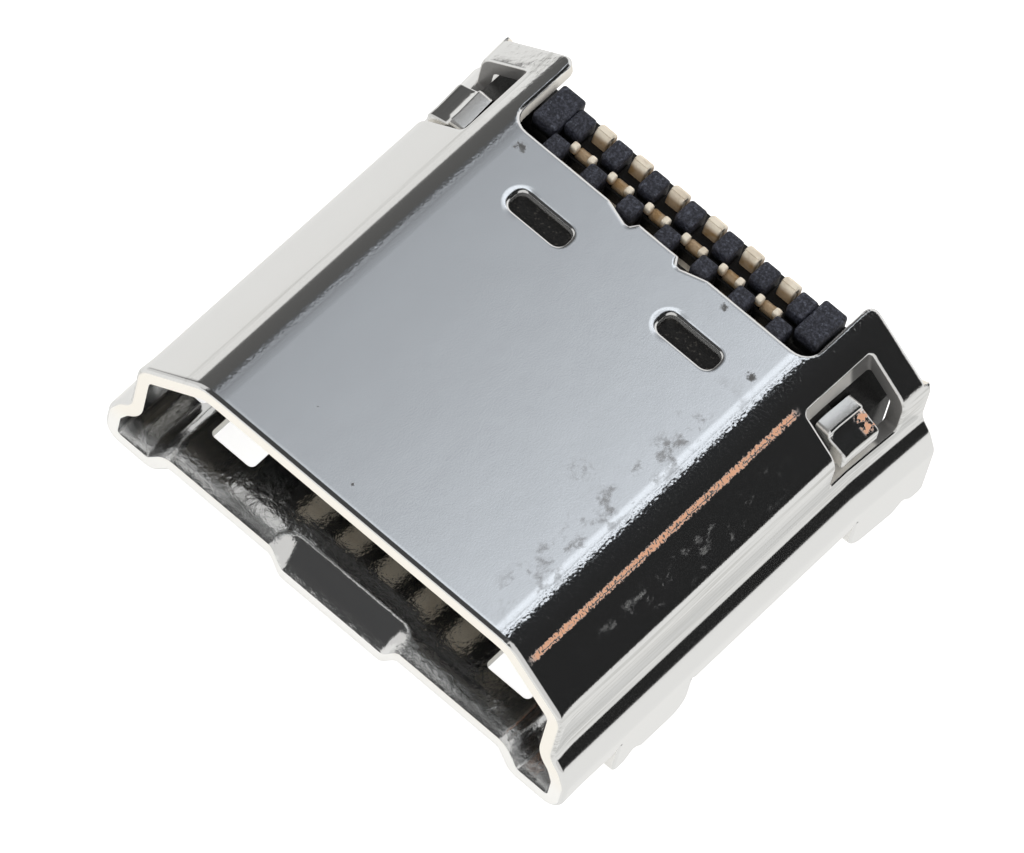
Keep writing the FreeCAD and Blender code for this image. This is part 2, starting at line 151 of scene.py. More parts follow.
class Tree:
    """Builds the nodes of one material or of the world."""

    def __init__(self, owner: Any) -> None:
        """Start with an empty tree.

        Args:
            owner: A material or a world.
        """
        owner.use_nodes = True
        self.nodes = owner.node_tree.nodes
        self.links = owner.node_tree.links
        self.nodes.clear()
        self.places: dict[Triple, Any] = {}

    def node(self, kind: str, settings: dict[str, Any] | None = None,
             inputs: dict[Any, Any] | None = None) -> Any:
        """Make one node.

        Args:
            kind: Its Blender type.
            settings: Attributes, set before its sockets. A list under "stops" fills a ramp.
            inputs: Values or links, by the name or number of each socket.

        Returns:
            The new node.
        """
        made = self.nodes.new(kind)
        for name, setting in (settings or {}).items():
            if name == "stops":
                self._stops(made.color_ramp, setting)
            else:
                setattr(made, name, setting)
        for name, given in (inputs or {}).items():
            socket = made.inputs[name]
            link = given.link if isinstance(given, Value) else given
            if isinstance(link, bpy.types.NodeSocket):
                self.links.new(link, socket)
            else:
                socket.default_value = link
        return made

    @staticmethod
    def _stops(ramp: Any, stops: list[tuple[float, Triple]]) -> None:
        """Set the stops of a ramp from pairs of place and colour."""
        while len(ramp.elements) < len(stops):
            ramp.elements.new(0.5)
        for element, (place, colour) in zip(ramp.elements, stops):
            element.position = place
            element.color = (*colour, 1.0)

    def math(self, operation: str, *values: Any) -> Value:
        """Math node on up to three numbers."""
        made = self.node("ShaderNodeMath", {"operation": operation}, dict(enumerate(values)))
        return Value(self, made.outputs[0])

    def remap(self, value: Any, low: float, high: float) -> Value:
        """Smooth change from 0 to 1 while a value goes from low to high."""
        made = self.node("ShaderNodeMapRange", {"interpolation_type": "SMOOTHSTEP"},
                         {0: value, 1: low, 2: high, 3: 0.0, 4: 1.0})
        return Value(self, made.outputs[0])

    def length(self, first: Value, second: Value) -> Value:
        """Length of a line that runs so far along two axes."""
        return self.math("SQRT", first * first + second * second)

    def place(self, stretch: Triple = (1.0, 1.0, 1.0)) -> Any:
        """Object coordinates in millimetres, made once for each stretch of the axes."""
        if stretch not in self.places:
            made = self.node("ShaderNodeTexCoord")
            size = tuple(s / MM for s in stretch)
            mapping = self.node("ShaderNodeMapping", None, {0: made.outputs["Object"], 3: size})
            self.places[stretch] = mapping.outputs[0]
        return self.places[stretch]

    def parts(self, vector: Any) -> tuple[Value, Value, Value]:
        """The three numbers of a vector."""
        made = self.node("ShaderNodeSeparateXYZ", None, {0: vector})
        return tuple(Value(self, out) for out in made.outputs)

    def noise(self, pattern: Pattern) -> Value:
        """Value of a pattern between 0 and 1."""
        made = self.node("ShaderNodeTexNoise", None,
                         {"Vector": self.place(pattern.stretch), "Scale": pattern.scale,
                          "Detail": pattern.detail, "Roughness": pattern.rough})
        value = Value(self, made.outputs[0])
        return value.rise(*pattern.step) if pattern.step else value

    def flag(self, name: str) -> Value:
        """Number that a mesh carries under a name, 0 where it has none."""
        made = self.node("ShaderNodeAttribute", {"attribute_name": name})
        return Value(self, made.outputs["Fac"])

    def mix(self, factor: Any, first: Any, second: Any) -> Any:
        """Colour between two colours."""
        made = self.node("ShaderNodeMix", {"data_type": "RGBA"},
                         {0: factor, 6: self._colour(first), 7: self._colour(second)})
        return made.outputs[2]

    @staticmethod
    def _colour(given: Any) -> Any:
        """A colour with its alpha, or a link as it is."""
        return (*given, 1.0) if isinstance(given, tuple) and len(given) == 3 else given

    def bump(self, height: Value, distance: float) -> Any:
        """Normal that a height gives, where the height 1 stands for a distance in millimetres."""
        made = self.node("ShaderNodeBump", None,
                         {"Height": height, "Distance": distance * MM, "Strength": 1.0})
        return made.outputs[0]

    def surface(self, channels: dict[Channel, Any], constants: dict[str, Any] | None = None) -> None:
        """Finish a material with a Principled shader.

        Args:
            channels: Values or links by channel.
            constants: Plain settings of other sockets.
        """
        inputs = {channel.value: self._colour(given) for channel, given in channels.items()}
        inputs.update(constants or {})
        shader = self.node("ShaderNodeBsdfPrincipled", None, inputs)
        self.node("ShaderNodeOutputMaterial", None, {0: shader.outputs[0]})


def new_material(name: str) -> tuple[bpy.types.Material, Tree]:
    """A material and the tree that fills it."""
    material = bpy.data.materials.new(name)
    return material, Tree(material)


@dataclass(frozen=True)
class Zone:
    """Part of the shell: limits of x, |x|, the depth from the mouth and the height, in mm.

    Three limits are the two ends of a band and its softness. Two are the start and the end
    of a step, which falls where the first is the higher one.
    """

    x: tuple[float, ...] = ()
    wide: tuple[float, ...] = ()
    deep: tuple[float, ...] = ()
    high: tuple[float, ...] = ()


@dataclass(frozen=True)
class Mark:
    """What a mark does to steel: its colour, how far it covers, added roughness, lost metal."""

    colour: Triple
    cover: float = 1.0
    rough: float = 0.0
    dull: float = 0.0


class Sheet:
    """Coordinates of the folded sheet in the tree of its material."""

    def __init__(self, tree: Tree, mouth: float) -> None:
        """Measure the sheet.

        Args:
            tree: The tree of the material.
            mouth: Y of the mouth in millimetres, where the depth starts.
        """
        self.x, y, self.z = tree.parts(tree.place())
        self.deep, self.wide = y - mouth, abs(self.x)

    def zone(self, zone: Zone) -> Value:
        """Mask of a zone, 1 inside it."""
        pairs = ((self.x, zone.x), (self.wide, zone.wide), (self.deep, zone.deep), (self.z, zone.high))
        parts = [self._limited(value, limits) for value, limits in pairs if limits]
        return math.prod(parts[1:], start=parts[0])

    @staticmethod
    def _limited(value: Value, limits: tuple[float, ...]) -> Value:
        """Band or step of one coordinate."""
        if len(limits) == 3:
            return value.band(*limits)
        start, end = limits
        return value.rise(start, end) if start < end else 1 - value.rise(end, start)


@dataclass(frozen=True)
class SteelFinish:
    """Plated sheet steel with a fine grain, stains near the bends and cream cut edges, which turn white
    towards the bottom as a painted highlight. It carries painted reflections too, an orange streak on
    the chamfer, an orange patch on the tab and dark mottling low on the chamfer, and painted shade on
    the cut edges at the back of the windows.
    """

    mouth: float = -3.8
    roughness: float = 0.13
    relief: float = 0.003
    colour: Triple = (0.81, 0.815, 0.82)
    cloud_shade: float = 0.88
    # Painted highlight: the cut edges turn this white towards the bottom.
    highlight_foot_colour: Triple = (1.0, 0.99, 0.96)
    foot: Pair = (0.7, 1.3)
    window_edge_loss: float = 0.40
    tab_edge_loss: float = 0.35
    leg_edge_loss: float = 0.8

    lines: Mark = Mark((0.36, 0.36, 0.34), 0.5, 0.05)
    seam: Mark = Mark((0.36, 0.36, 0.34), 0.4)
    stain: Mark = Mark((0.36, 0.33, 0.31), 0.45, 0.20)
    # Painted reflection: dark grey-brown mottling on the lower part of the right chamfer.
    mottled_reflection: Mark = Mark((0.30, 0.30, 0.25), 0.35, 0.15, 0.15)
    pit: Mark = Mark((0.12, 0.11, 0.10), 0.75, 0.3)
    # Painted reflection: the orange of the streak on the chamfer and of the patch on the tab.
    copper_reflection: Mark = Mark((0.84, 0.45, 0.28), 1.0, 0.35, 0.8)
    cut: Mark = Mark((1.0, 0.955, 0.87), 1.0, 0.36, 0.9)
    shadow: Mark = Mark((0.06, 0.06, 0.065), 0.8)

    fine: Pattern = Pattern(38.0)
    clouds: Pattern = Pattern(1.3, rough=0.5)
    peel: Pattern = Pattern(30.0, 2.0)
    broad: Pattern = Pattern(9.0)
    stipple: Pattern = Pattern(24.0, 0.0, 0.5)
    drawn: Pattern = Pattern(4.0, 4.0, 0.6, (5.0, 0.10, 5.0))
    mottled_reflection_noise: Pattern = Pattern(4.2, 4.0, 0.7, (1.0, 0.6, 1.0), (0.55, 0.66))
    tab_reflection_blots: Pattern = Pattern(9.0, 3.0, 0.7, step=(0.44, 0.52))
    scuffs: Pattern = Pattern(2.6, 4.0, 0.7, (1.0, 0.7, 1.0), (0.50, 0.66))
    spot_grain: Pattern = Pattern(12.0, 3.0, 0.7, step=(0.40, 0.62))
    pit_edge: Pattern = Pattern(10.0, 3.0, 0.75)
    streak_edge: Pattern = Pattern(20.0, 3.0, 0.7)
    streak_breaks: Pattern = Pattern(2.0, 1.0, 0.55, step=(0.42, 0.52))
    streak_dots: Pattern = Pattern(26.0, 1.0, 0.4, (1.0, 1.6, 1.0), (0.55, 0.62))

    right_half: Zone = Zone(x=(0.0, 0.1))
    outer_face: Zone = Zone(high=(2.2, 2.4))
    plate: Zone = Zone(high=(2.7, 2.9))
    plate_face: Zone = Zone(high=(2.92, 3.02))
    wall: Zone = Zone(wide=(3.3, 3.5), high=(1.45, 2.35, 0.06))
    upper_bend: Zone = Zone(wide=(2.44, 2.80, 0.07), high=(2.6, 2.8))
    lower_bend: Zone = Zone(wide=(3.4, 3.5), high=(2.22, 2.46, 0.06))
    rolled: Zone = Zone(wide=(2.49, 2.76, 0.04), high=(2.6, 2.8))
    wings: Zone = Zone(wide=(2.3, 2.6), deep=(5.9, 6.6), high=(2.25, 2.40))
    within: Zone = Zone(wide=(3.62, 3.50), deep=(1.2, 0.7), high=(1.5, 1.3))
    window: Zone = Zone(wide=(2.9, 3.0), deep=(5.2, 7.3, 0.1), high=(1.4, 1.6))
    window_rear: Zone = Zone(deep=(6.5, 6.6))
    tab: Zone = Zone(wide=(3.05, 3.45, 0.04), deep=(5.7, 6.5, 0.05))
    tab_reflection: Zone = Zone(x=(3.40, 3.66, 0.03), deep=(6.22, 6.44, 0.03), high=(2.2, 2.5, 0.05))
    between_legs: Zone = Zone(deep=(3.0, 5.4, 0.1))
    seam_line: Zone = Zone(x=(-2.99, -2.93, 0.02), high=(2.3, 2.5))
    mottled_reflection_zone: Zone = Zone(x=(3.18, 3.52, 0.06), deep=(1.2, 4.6, 0.5))
    scuffed: Zone = Zone(x=(1.95, 2.42, 0.16), deep=(0.5, 4.9, 0.5))
    streak_run: Zone = Zone(deep=(0.15, 5.45, 0.10))
    streak_line: Triple = (2.905, 2.985, 0.008)
    streak_gap: Triple = (2.955, 2.966, 0.006)

    round_spot: Pair = (1.60, 2.65)
    pits: tuple[Triple, ...] = (
        (-2.21, 5.80, 0.100), (1.28, 5.89, 0.070), (2.23, 5.33, 0.085),
        (-1.44, 0.87, 0.030), (-0.35, 0.32, 0.030),
    )
    pit_ragged: float = 2.6
    pit_fade: Pair = (0.30, 1.00)
    spot_ragged: float = 0.08
    spot_fade: Pair = (0.08, 0.22)
    spot_cover: float = 0.5
    dish_reach: float = 0.31
    dish_round: float = 0.21
    dish_slope: Pair = (-0.03, 0.10)
    dish_turn: Pair = (-0.01, 0.01)
    dish_inner: Pair = (0.20, 0.30)
    dish_outer: Pair = (-0.45, -0.20)
    streak_ragged: float = 0.09
    streak_gap_ragged: float = 0.6
    streak_dot_loss: float = 0.85
    line_fade: Pair = (0.44, 0.66)
    line_least: float = 0.2
    seam_fade: Pair = (0.35, 0.65)
    cloud_cover: float = 0.2
    fine_rough: float = 0.06
    fine_height: float = 0.06
    cloud_height: float = 0.25
    bend_height: float = 0.3
    wall_height: float = 0.12
    wing_height: float = 1.5
    rolled_height: float = 1.3
    rolled_left: float = 0.45
    within_height: float = 2.2
    dish_height: float = 1.5

    def material(self) -> bpy.types.Material:
        """Build the finish."""
        made, tree = new_material("folded_steel")
        sheet = Sheet(tree, self.mouth)
        fine, clouds = tree.noise(self.fine), tree.noise(self.clouds)
        shaded = tuple(c * self.cloud_shade for c in self.colour)
        colour = tree.mix(clouds * self.cloud_cover, self.colour, shaded)
        roughness = (fine - 0.5) * self.fine_rough + self.roughness
        metallic = 1.0
        # The cream of the cut edges turns white towards the bottom, a painted highlight.
        pale = tree.mix(sheet.z.rise(*self.foot), self.highlight_foot_colour, self.cut.colour)
        for mask, mark in self._marks(tree, sheet):
            colour = tree.mix(mask * mark.cover, colour, pale if mark is self.cut else mark.colour)
            if mark.rough:
                roughness = roughness + mask * mark.rough
            if mark.dull:
                metallic = metallic - mask * mark.dull
        grain = fine * self.fine_height + clouds * self.cloud_height
        height = self._height(tree, sheet, grain)
        tree.surface({Channel.COLOUR: colour, Channel.METALLIC: metallic,
                      Channel.ROUGHNESS: roughness, Channel.NORMAL: tree.bump(height, self.relief)})
        return made

    def _marks(self, tree: Tree, sheet: Sheet) -> list[tuple[Value, Mark]]:
        """Masks of the marks, in the order in which they cover each other."""
        upper_right = sheet.zone(self.outer_face) * sheet.zone(self.right_half)
        drawn = tree.noise(self.drawn)
        least = self.line_least
        lines = sheet.zone(self.wall) * (drawn.rise(*self.line_fade) * (1 - least) + least)
        seam = sheet.zone(self.seam_line) * drawn.rise(*self.seam_fade)
        # Painted reflection: dark mottling on the lower part of the right chamfer.
        mottled_reflection = sheet.zone(self.mottled_reflection_zone) * tree.noise(self.mottled_reflection_noise)
        pits = self._pits(tree, sheet) * sheet.zone(self.plate_face)
        # Painted reflection: an orange streak along the right chamfer, and an orange patch on the tab.
        copper_reflection = self._reflection_streak(tree, sheet) * upper_right
        copper_reflection = copper_reflection + sheet.zone(self.tab_reflection) * tree.noise(self.tab_reflection_blots)
        window, edge = sheet.zone(self.window), tree.flag("cut_edge")
        cut = edge * (1 - window * self.window_edge_loss
                      - window * sheet.zone(self.tab) * self.tab_edge_loss
                      - sheet.zone(self.between_legs) * self.leg_edge_loss)
        shadow = edge * window * sheet.zone(self.window_rear)
        return [(lines, self.lines), (seam, self.seam),
                (self._stain(tree, sheet) * upper_right, self.stain), (mottled_reflection, self.mottled_reflection),
                (pits, self.pit), (copper_reflection, self.copper_reflection), (cut, self.cut), (shadow, self.shadow)]

    def _height(self, tree: Tree, sheet: Sheet, grain: Value) -> Value:
        """Relief of the sheet: its grain, rougher bends, wings and mouth, and the dips."""
        peel, broad = tree.noise(self.peel), tree.noise(self.broad)
        bends = sheet.zone(self.upper_bend) + sheet.zone(self.lower_bend)
        left = self.rolled_left
        rolled = sheet.zone(self.rolled) * (sheet.zone(self.right_half) * (1 - left) + left)
        return (grain + peel * (bends * self.bend_height + sheet.zone(self.wall) * self.wall_height)
                + broad * sheet.zone(self.wings) * self.wing_height
                + tree.noise(self.stipple) * rolled * self.rolled_height
                + broad * sheet.zone(self.within) * self.within_height
                + self._dish(tree, sheet) * sheet.zone(self.plate))

    def _reflection_streak(self, tree: Tree, sheet: Sheet) -> Value:
        """Painted reflection of a warm light along the chamfer: a broken orange line, two rows of dots
        that close up in places.
        """
        ragged = (tree.noise(self.streak_edge) - 0.5) * self.streak_ragged
        line = (sheet.x + ragged).band(*self.streak_line)
        gap = (sheet.x + ragged * self.streak_gap_ragged).band(*self.streak_gap)
        gap = gap * tree.noise(self.streak_breaks)
        dots = 1 - tree.noise(self.streak_dots) * self.streak_dot_loss
        return line * (1 - gap) * dots * sheet.zone(self.streak_run)

    def _pits(self, tree: Tree, sheet: Sheet) -> Value:
        """Small dark pits in the plate, each with a ragged edge."""
        ragged = (tree.noise(self.pit_edge) - 0.5) * self.pit_ragged
        pits = []
        for x, deep, size in self.pits:
            away = tree.length(sheet.x - x, sheet.deep - deep) / size
            pits.append(1 - (away + ragged).rise(*self.pit_fade))
        return sum(pits[1:], pits[0]).smaller(1.0)

    def _dish(self, tree: Tree, sheet: Sheet) -> Value:
        """Shallow dip of the plate at the left end of its two slots."""
        spacing = FoldedShell.slot_spacing
        from_middle = sheet.x - sheet.x.rise(*self.dish_turn) * spacing + spacing / 2
        across = (abs(from_middle) - self.dish_reach).larger(0.0)
        gap = tree.length(across, sheet.deep - FoldedShell.slot_place) - self.dish_round
        near = sheet.wide.rise(*self.dish_inner) * (1 - from_middle.rise(*self.dish_outer))
        return (gap.rise(*self.dish_slope) - 1) * near * self.dish_height

    def _stain(self, tree: Tree, sheet: Sheet) -> Value:
        """Grey-brown scuffs in front of the bend, and one soft round spot on the plate."""
        cloud = tree.noise(self.scuffs)
        x, deep = self.round_spot
        away = tree.length(sheet.x - x, sheet.deep - deep) + (cloud - 0.5) * self.spot_ragged
        spot = (1 - away.rise(*self.spot_fade)) * tree.noise(self.spot_grain) * self.spot_cover
        return (cloud * sheet.zone(self.scuffed) + spot).smaller(1.0)


@dataclass(frozen=True)
class MouldingFinish:
    """Black moulded plastic with a lighter mottle, specks and a matt grain. Where shade_under is given,
    everything below that height is painted shade, so the raised parts stand out.
    """

    name: str
    colour: Triple
    worn: Triple
    speck: Triple
    speck_share: float = 0.5
    roughness: float = 0.50
    shade_under: float = 0.0
    shade: Triple = (0.004, 0.004, 0.004)
    relief: float = 0.012
    shine: float = 0.35
    worn_fade: Pair = (0.35, 0.75)
    shade_edge: Pair = (-0.06, 0.04)
    fine_rough: float = 0.35
    broad_height: float = 0.4
    fine: Pattern = Pattern(30.0, 3.0, 0.65)
    broad: Pattern = Pattern(3.0, 3.0, 0.5)
    specks: Pattern = Pattern(17.0, 2.0, 0.6, step=(0.60, 0.68))

    def material(self) -> bpy.types.Material:
        """Build the finish."""
        made, tree = new_material(self.name)
        fine, broad = tree.noise(self.fine), tree.noise(self.broad)
        colour = tree.mix(fine.rise(*self.worn_fade) * (0.5 + broad * 0.5), self.colour, self.worn)
        colour = tree.mix(tree.noise(self.specks) * self.speck_share, colour, self.speck)
        # Painted shade: below the height shade_under the colour turns to the shade colour.
        if self.shade_under:
            edge = (self.shade_under + part for part in self.shade_edge)
            lit = tree.parts(tree.place())[2].rise(*edge)
            colour = tree.mix(lit, self.shade, colour)
        tree.surface({Channel.COLOUR: colour, Channel.METALLIC: 0.0,
                      Channel.ROUGHNESS: self.roughness + (fine - 0.5) * self.fine_rough,
                      Channel.NORMAL: tree.bump(fine + broad * self.broad_height, self.relief)},
                     {"Specular IOR Level": self.shine})
        return made


@dataclass(frozen=True)
class GoldFinish:
    """Thin pale gold over nickel, a little uneven, with painted shade in dark brown on the band a
    little under the top, where the contacts dip between the comb's ribs.
    """

    colour: Triple = (0.96, 0.87, 0.72)
    # Colour of the painted shade where the contacts dip between the comb's ribs.
    deep: Triple = (0.42, 0.27, 0.13)
    roughness: float = 0.40
    metallic: float = 0.40
    relief: float = 0.008
    sunk_from: float = 0.35
    sunk_to: float = 0.06
    sunk_soft: float = 0.05
    sunk_cover: float = 0.8
    broad_cover: float = 0.25
    fine_rough: float = 0.3
    fine: Pattern = Pattern(26.0)
    broad: Pattern = Pattern(5.0, 2.0, 0.5, step=(0.48, 0.70))

    def material(self) -> bpy.types.Material:
        """Build the finish."""
        made, tree = new_material("contact_gold")
        fine = tree.noise(self.fine)
        z = tree.parts(tree.place())[2]
        top = box_mm("upper_contact_1")[1][2]
        # Painted shade on the band under the top where the contacts dip between the comb's ribs.
        sunk = z.band(top - self.sunk_from, top - self.sunk_to, self.sunk_soft)
        share = (tree.noise(self.broad) * self.broad_cover + sunk * self.sunk_cover).smaller(1.0)
        tree.surface({Channel.COLOUR: tree.mix(share, self.colour, self.deep),
                      Channel.METALLIC: self.metallic,
                      Channel.ROUGHNESS: self.roughness + (fine - 0.5) * self.fine_rough,
                      Channel.NORMAL: tree.bump(fine, self.relief)})
        return made


def box_mm(node: str) -> tuple[np.ndarray, np.ndarray]:
    """Lowest and highest corner of a CAD node in millimetres."""
    low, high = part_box(node)
    return np.array(low) / MM, np.array(high) / MM


def grid_faces(index: np.ndarray) -> np.ndarray:
    """Four-cornered faces between the neighbours of a grid of point numbers."""
    quads = np.stack([index[:-1, :-1], index[1:, :-1], index[1:, 1:], index[:-1, 1:]], axis=-1)
    return quads.reshape(-1, 4)


def as_faces(corners: np.ndarray) -> list[Face]:
    """Rows of point numbers as faces."""
    return [tuple(row) for row in corners.tolist()]


def new_object(name: str, data: Any) -> bpy.types.Object:
    """Object of some data, in the scene."""
    made = bpy.data.objects.new(name, data)
    bpy.context.scene.collection.objects.link(made)
    return made


def finished(mesh: bpy.types.Mesh, material: bpy.types.Material, sharp: float) -> bpy.types.Object:
    """Object of a mesh, smooth up to an angle in degrees."""
    mesh.polygons.foreach_set("use_smooth", np.ones(len(mesh.polygons), bool))
    mesh.update()
    mesh.set_sharp_from_angle(angle=math.radians(sharp))
    mesh.materials.append(material)
    LOG.info("%s: %d faces", mesh.name, len(mesh.polygons))
    return new_object(mesh.name, mesh)


def outward_corners(points: np.ndarray, moves: np.ndarray) -> np.ndarray:
    """Corners of an open outline whose sides are moved outwards.

    Corner i is the point p with n[i-1] . p = n[i-1] . P[i] + m[i-1] and
    n[i] . p = n[i] . P[i] + m[i], where n is a side's unit normal and m its move.

    Args:
        points: Corners, clockwise, as an (n, 2) array.
        moves: Move of each of the n - 1 sides.

    Returns:
        The moved corners, as an (n, 2) array.
    """
    run = np.diff(points, axis=0)
    normal = np.stack([-run[:, 1], run[:, 0]], axis=1) / np.hypot(run[:, 0], run[:, 1])[:, None]
    system = np.stack([normal[:-1], normal[1:]], axis=1)
    inner = points[1:-1]
    right = np.stack([(normal[:-1] * inner).sum(1) + moves[:-1],
                      (normal[1:] * inner).sum(1) + moves[1:]], axis=1)
    middle = np.linalg.solve(system, right[..., None])[..., 0]
    first = points[:1] + normal[:1] * moves[0]
    last = points[-1:] + normal[-1:] * moves[-1]
    return np.concatenate([first, middle, last])


def rounded_line(points: np.ndarray, radii: np.ndarray, steps: int,
                 closed: bool = False) -> np.ndarray:
    """Outline whose corners are arcs.

    With a and b the unit vectors from a corner to its neighbours and g the angle between
    them, the arc's centre is P + (a + b) / |a + b| r / sin(g / 2), and its points are
    c + (sin((1 - t) h) u + sin(t h) v) / sin h, where h = pi - g and u and v run from the
    centre to the ends of the arc.

    Args:
        points: Corners as an (n, 2) array.
        radii: One radius a corner. Those of the two ends of an open outline aren't used.
        steps: Parts that each arc is cut in.
        closed: Whether the last corner is followed by the first.

    Returns:
        The points of the outline in order.
    """
    before, after = np.roll(points, 1, axis=0), np.roll(points, -1, axis=0)
    corner, radius = (points, radii) if closed else (points[1:-1], radii[1:-1])
    if not closed:
        before, after = before[1:-1], after[1:-1]
    a = (before - corner) / np.linalg.norm(before - corner, axis=1, keepdims=True)
    b = (after - corner) / np.linalg.norm(after - corner, axis=1, keepdims=True)
    gap = np.arccos(np.clip((a * b).sum(1), -1, 1))[:, None]
    radius = np.maximum(radius, NEAR)[:, None]
    middle = (a + b) / np.linalg.norm(a + b, axis=1, keepdims=True)
    centre = corner + middle * radius / np.sin(gap / 2)
    reach = radius / np.tan(gap / 2)
    u, v = corner + a * reach - centre, corner + b * reach - centre
    sweep = (np.pi - gap)[:, None]
    t = np.linspace(0, 1, steps + 1)[None, :, None]
    swung = np.sin((1 - t) * sweep) * u[:, None] + np.sin(t * sweep) * v[:, None]
    arc = (centre[:, None] + swung / np.sin(sweep)).reshape(-1, 2)
    return arc if closed else np.concatenate([points[:1], arc, points[-1:]])


def evenly(points: np.ndarray, spacing: float, closed: bool) -> np.ndarray:
    """Points on an outline at most one spacing apart, with its own points kept."""
    following = np.roll(points, -1, axis=0) if closed else points[1:]
    starts = points if closed else points[:-1]
    length = np.linalg.norm(following - starts, axis=1)
    parts = np.maximum(np.ceil(length / spacing).astype(int), 1)
    side = np.repeat(np.arange(len(starts)), parts)
    place = (np.arange(len(side)) - np.repeat(np.cumsum(parts) - parts, parts)) / parts[side]
    dense = starts[side] + (following - starts)[side] * place[:, None]
    return dense if closed else np.concatenate([dense, points[-1:]])


def length_along(points: np.ndarray) -> np.ndarray:
    """Distance from the first point of a line to each of its points."""
    return np.concatenate([[0.0], np.cumsum(np.linalg.norm(np.diff(points, axis=0), axis=1))])


def inside(points: np.ndarray, loop: np.ndarray) -> np.ndarray:
    """Which points lie in a closed loop: a ray to +s crosses it an odd number of times."""
    s, y = points[:, :1], points[:, 1:]
    s0, y0 = loop[:, 0][None], loop[:, 1][None]
    s1, y1 = np.roll(loop[:, 0], -1)[None], np.roll(loop[:, 1], -1)[None]
    spans = (y0 > y) != (y1 > y)
    slope = np.where(y1 == y0, 1.0, y1 - y0)
    crossing = (s1 - s0) * (y - y0) / slope + s0
    return (spans & (s < crossing)).sum(axis=1) % 2 == 1


def distance_to(points: np.ndarray, starts: np.ndarray, stops: np.ndarray) -> np.ndarray:
    """Distance from each point to the nearest of some straight edges."""
    result = np.full(len(points), np.inf)
    run = stops - starts
    square = np.maximum((run ** 2).sum(1), SPECK ** 2)
    for part in np.array_split(np.arange(len(points)), max(1, len(points) // BATCH)):
        gap = points[part][:, None] - starts[None]
        t = np.clip((gap * run[None]).sum(2) / square[None], 0, 1)
        result[part] = np.linalg.norm(gap - t[..., None] * run[None], axis=2).min(axis=1)
    return result


def smooth(t: np.ndarray) -> np.ndarray:
    """3 t^2 - 2 t^3 with t held between 0 and 1."""
    t = np.clip(t, 0, 1)
    return t * t * (3 - 2 * t)


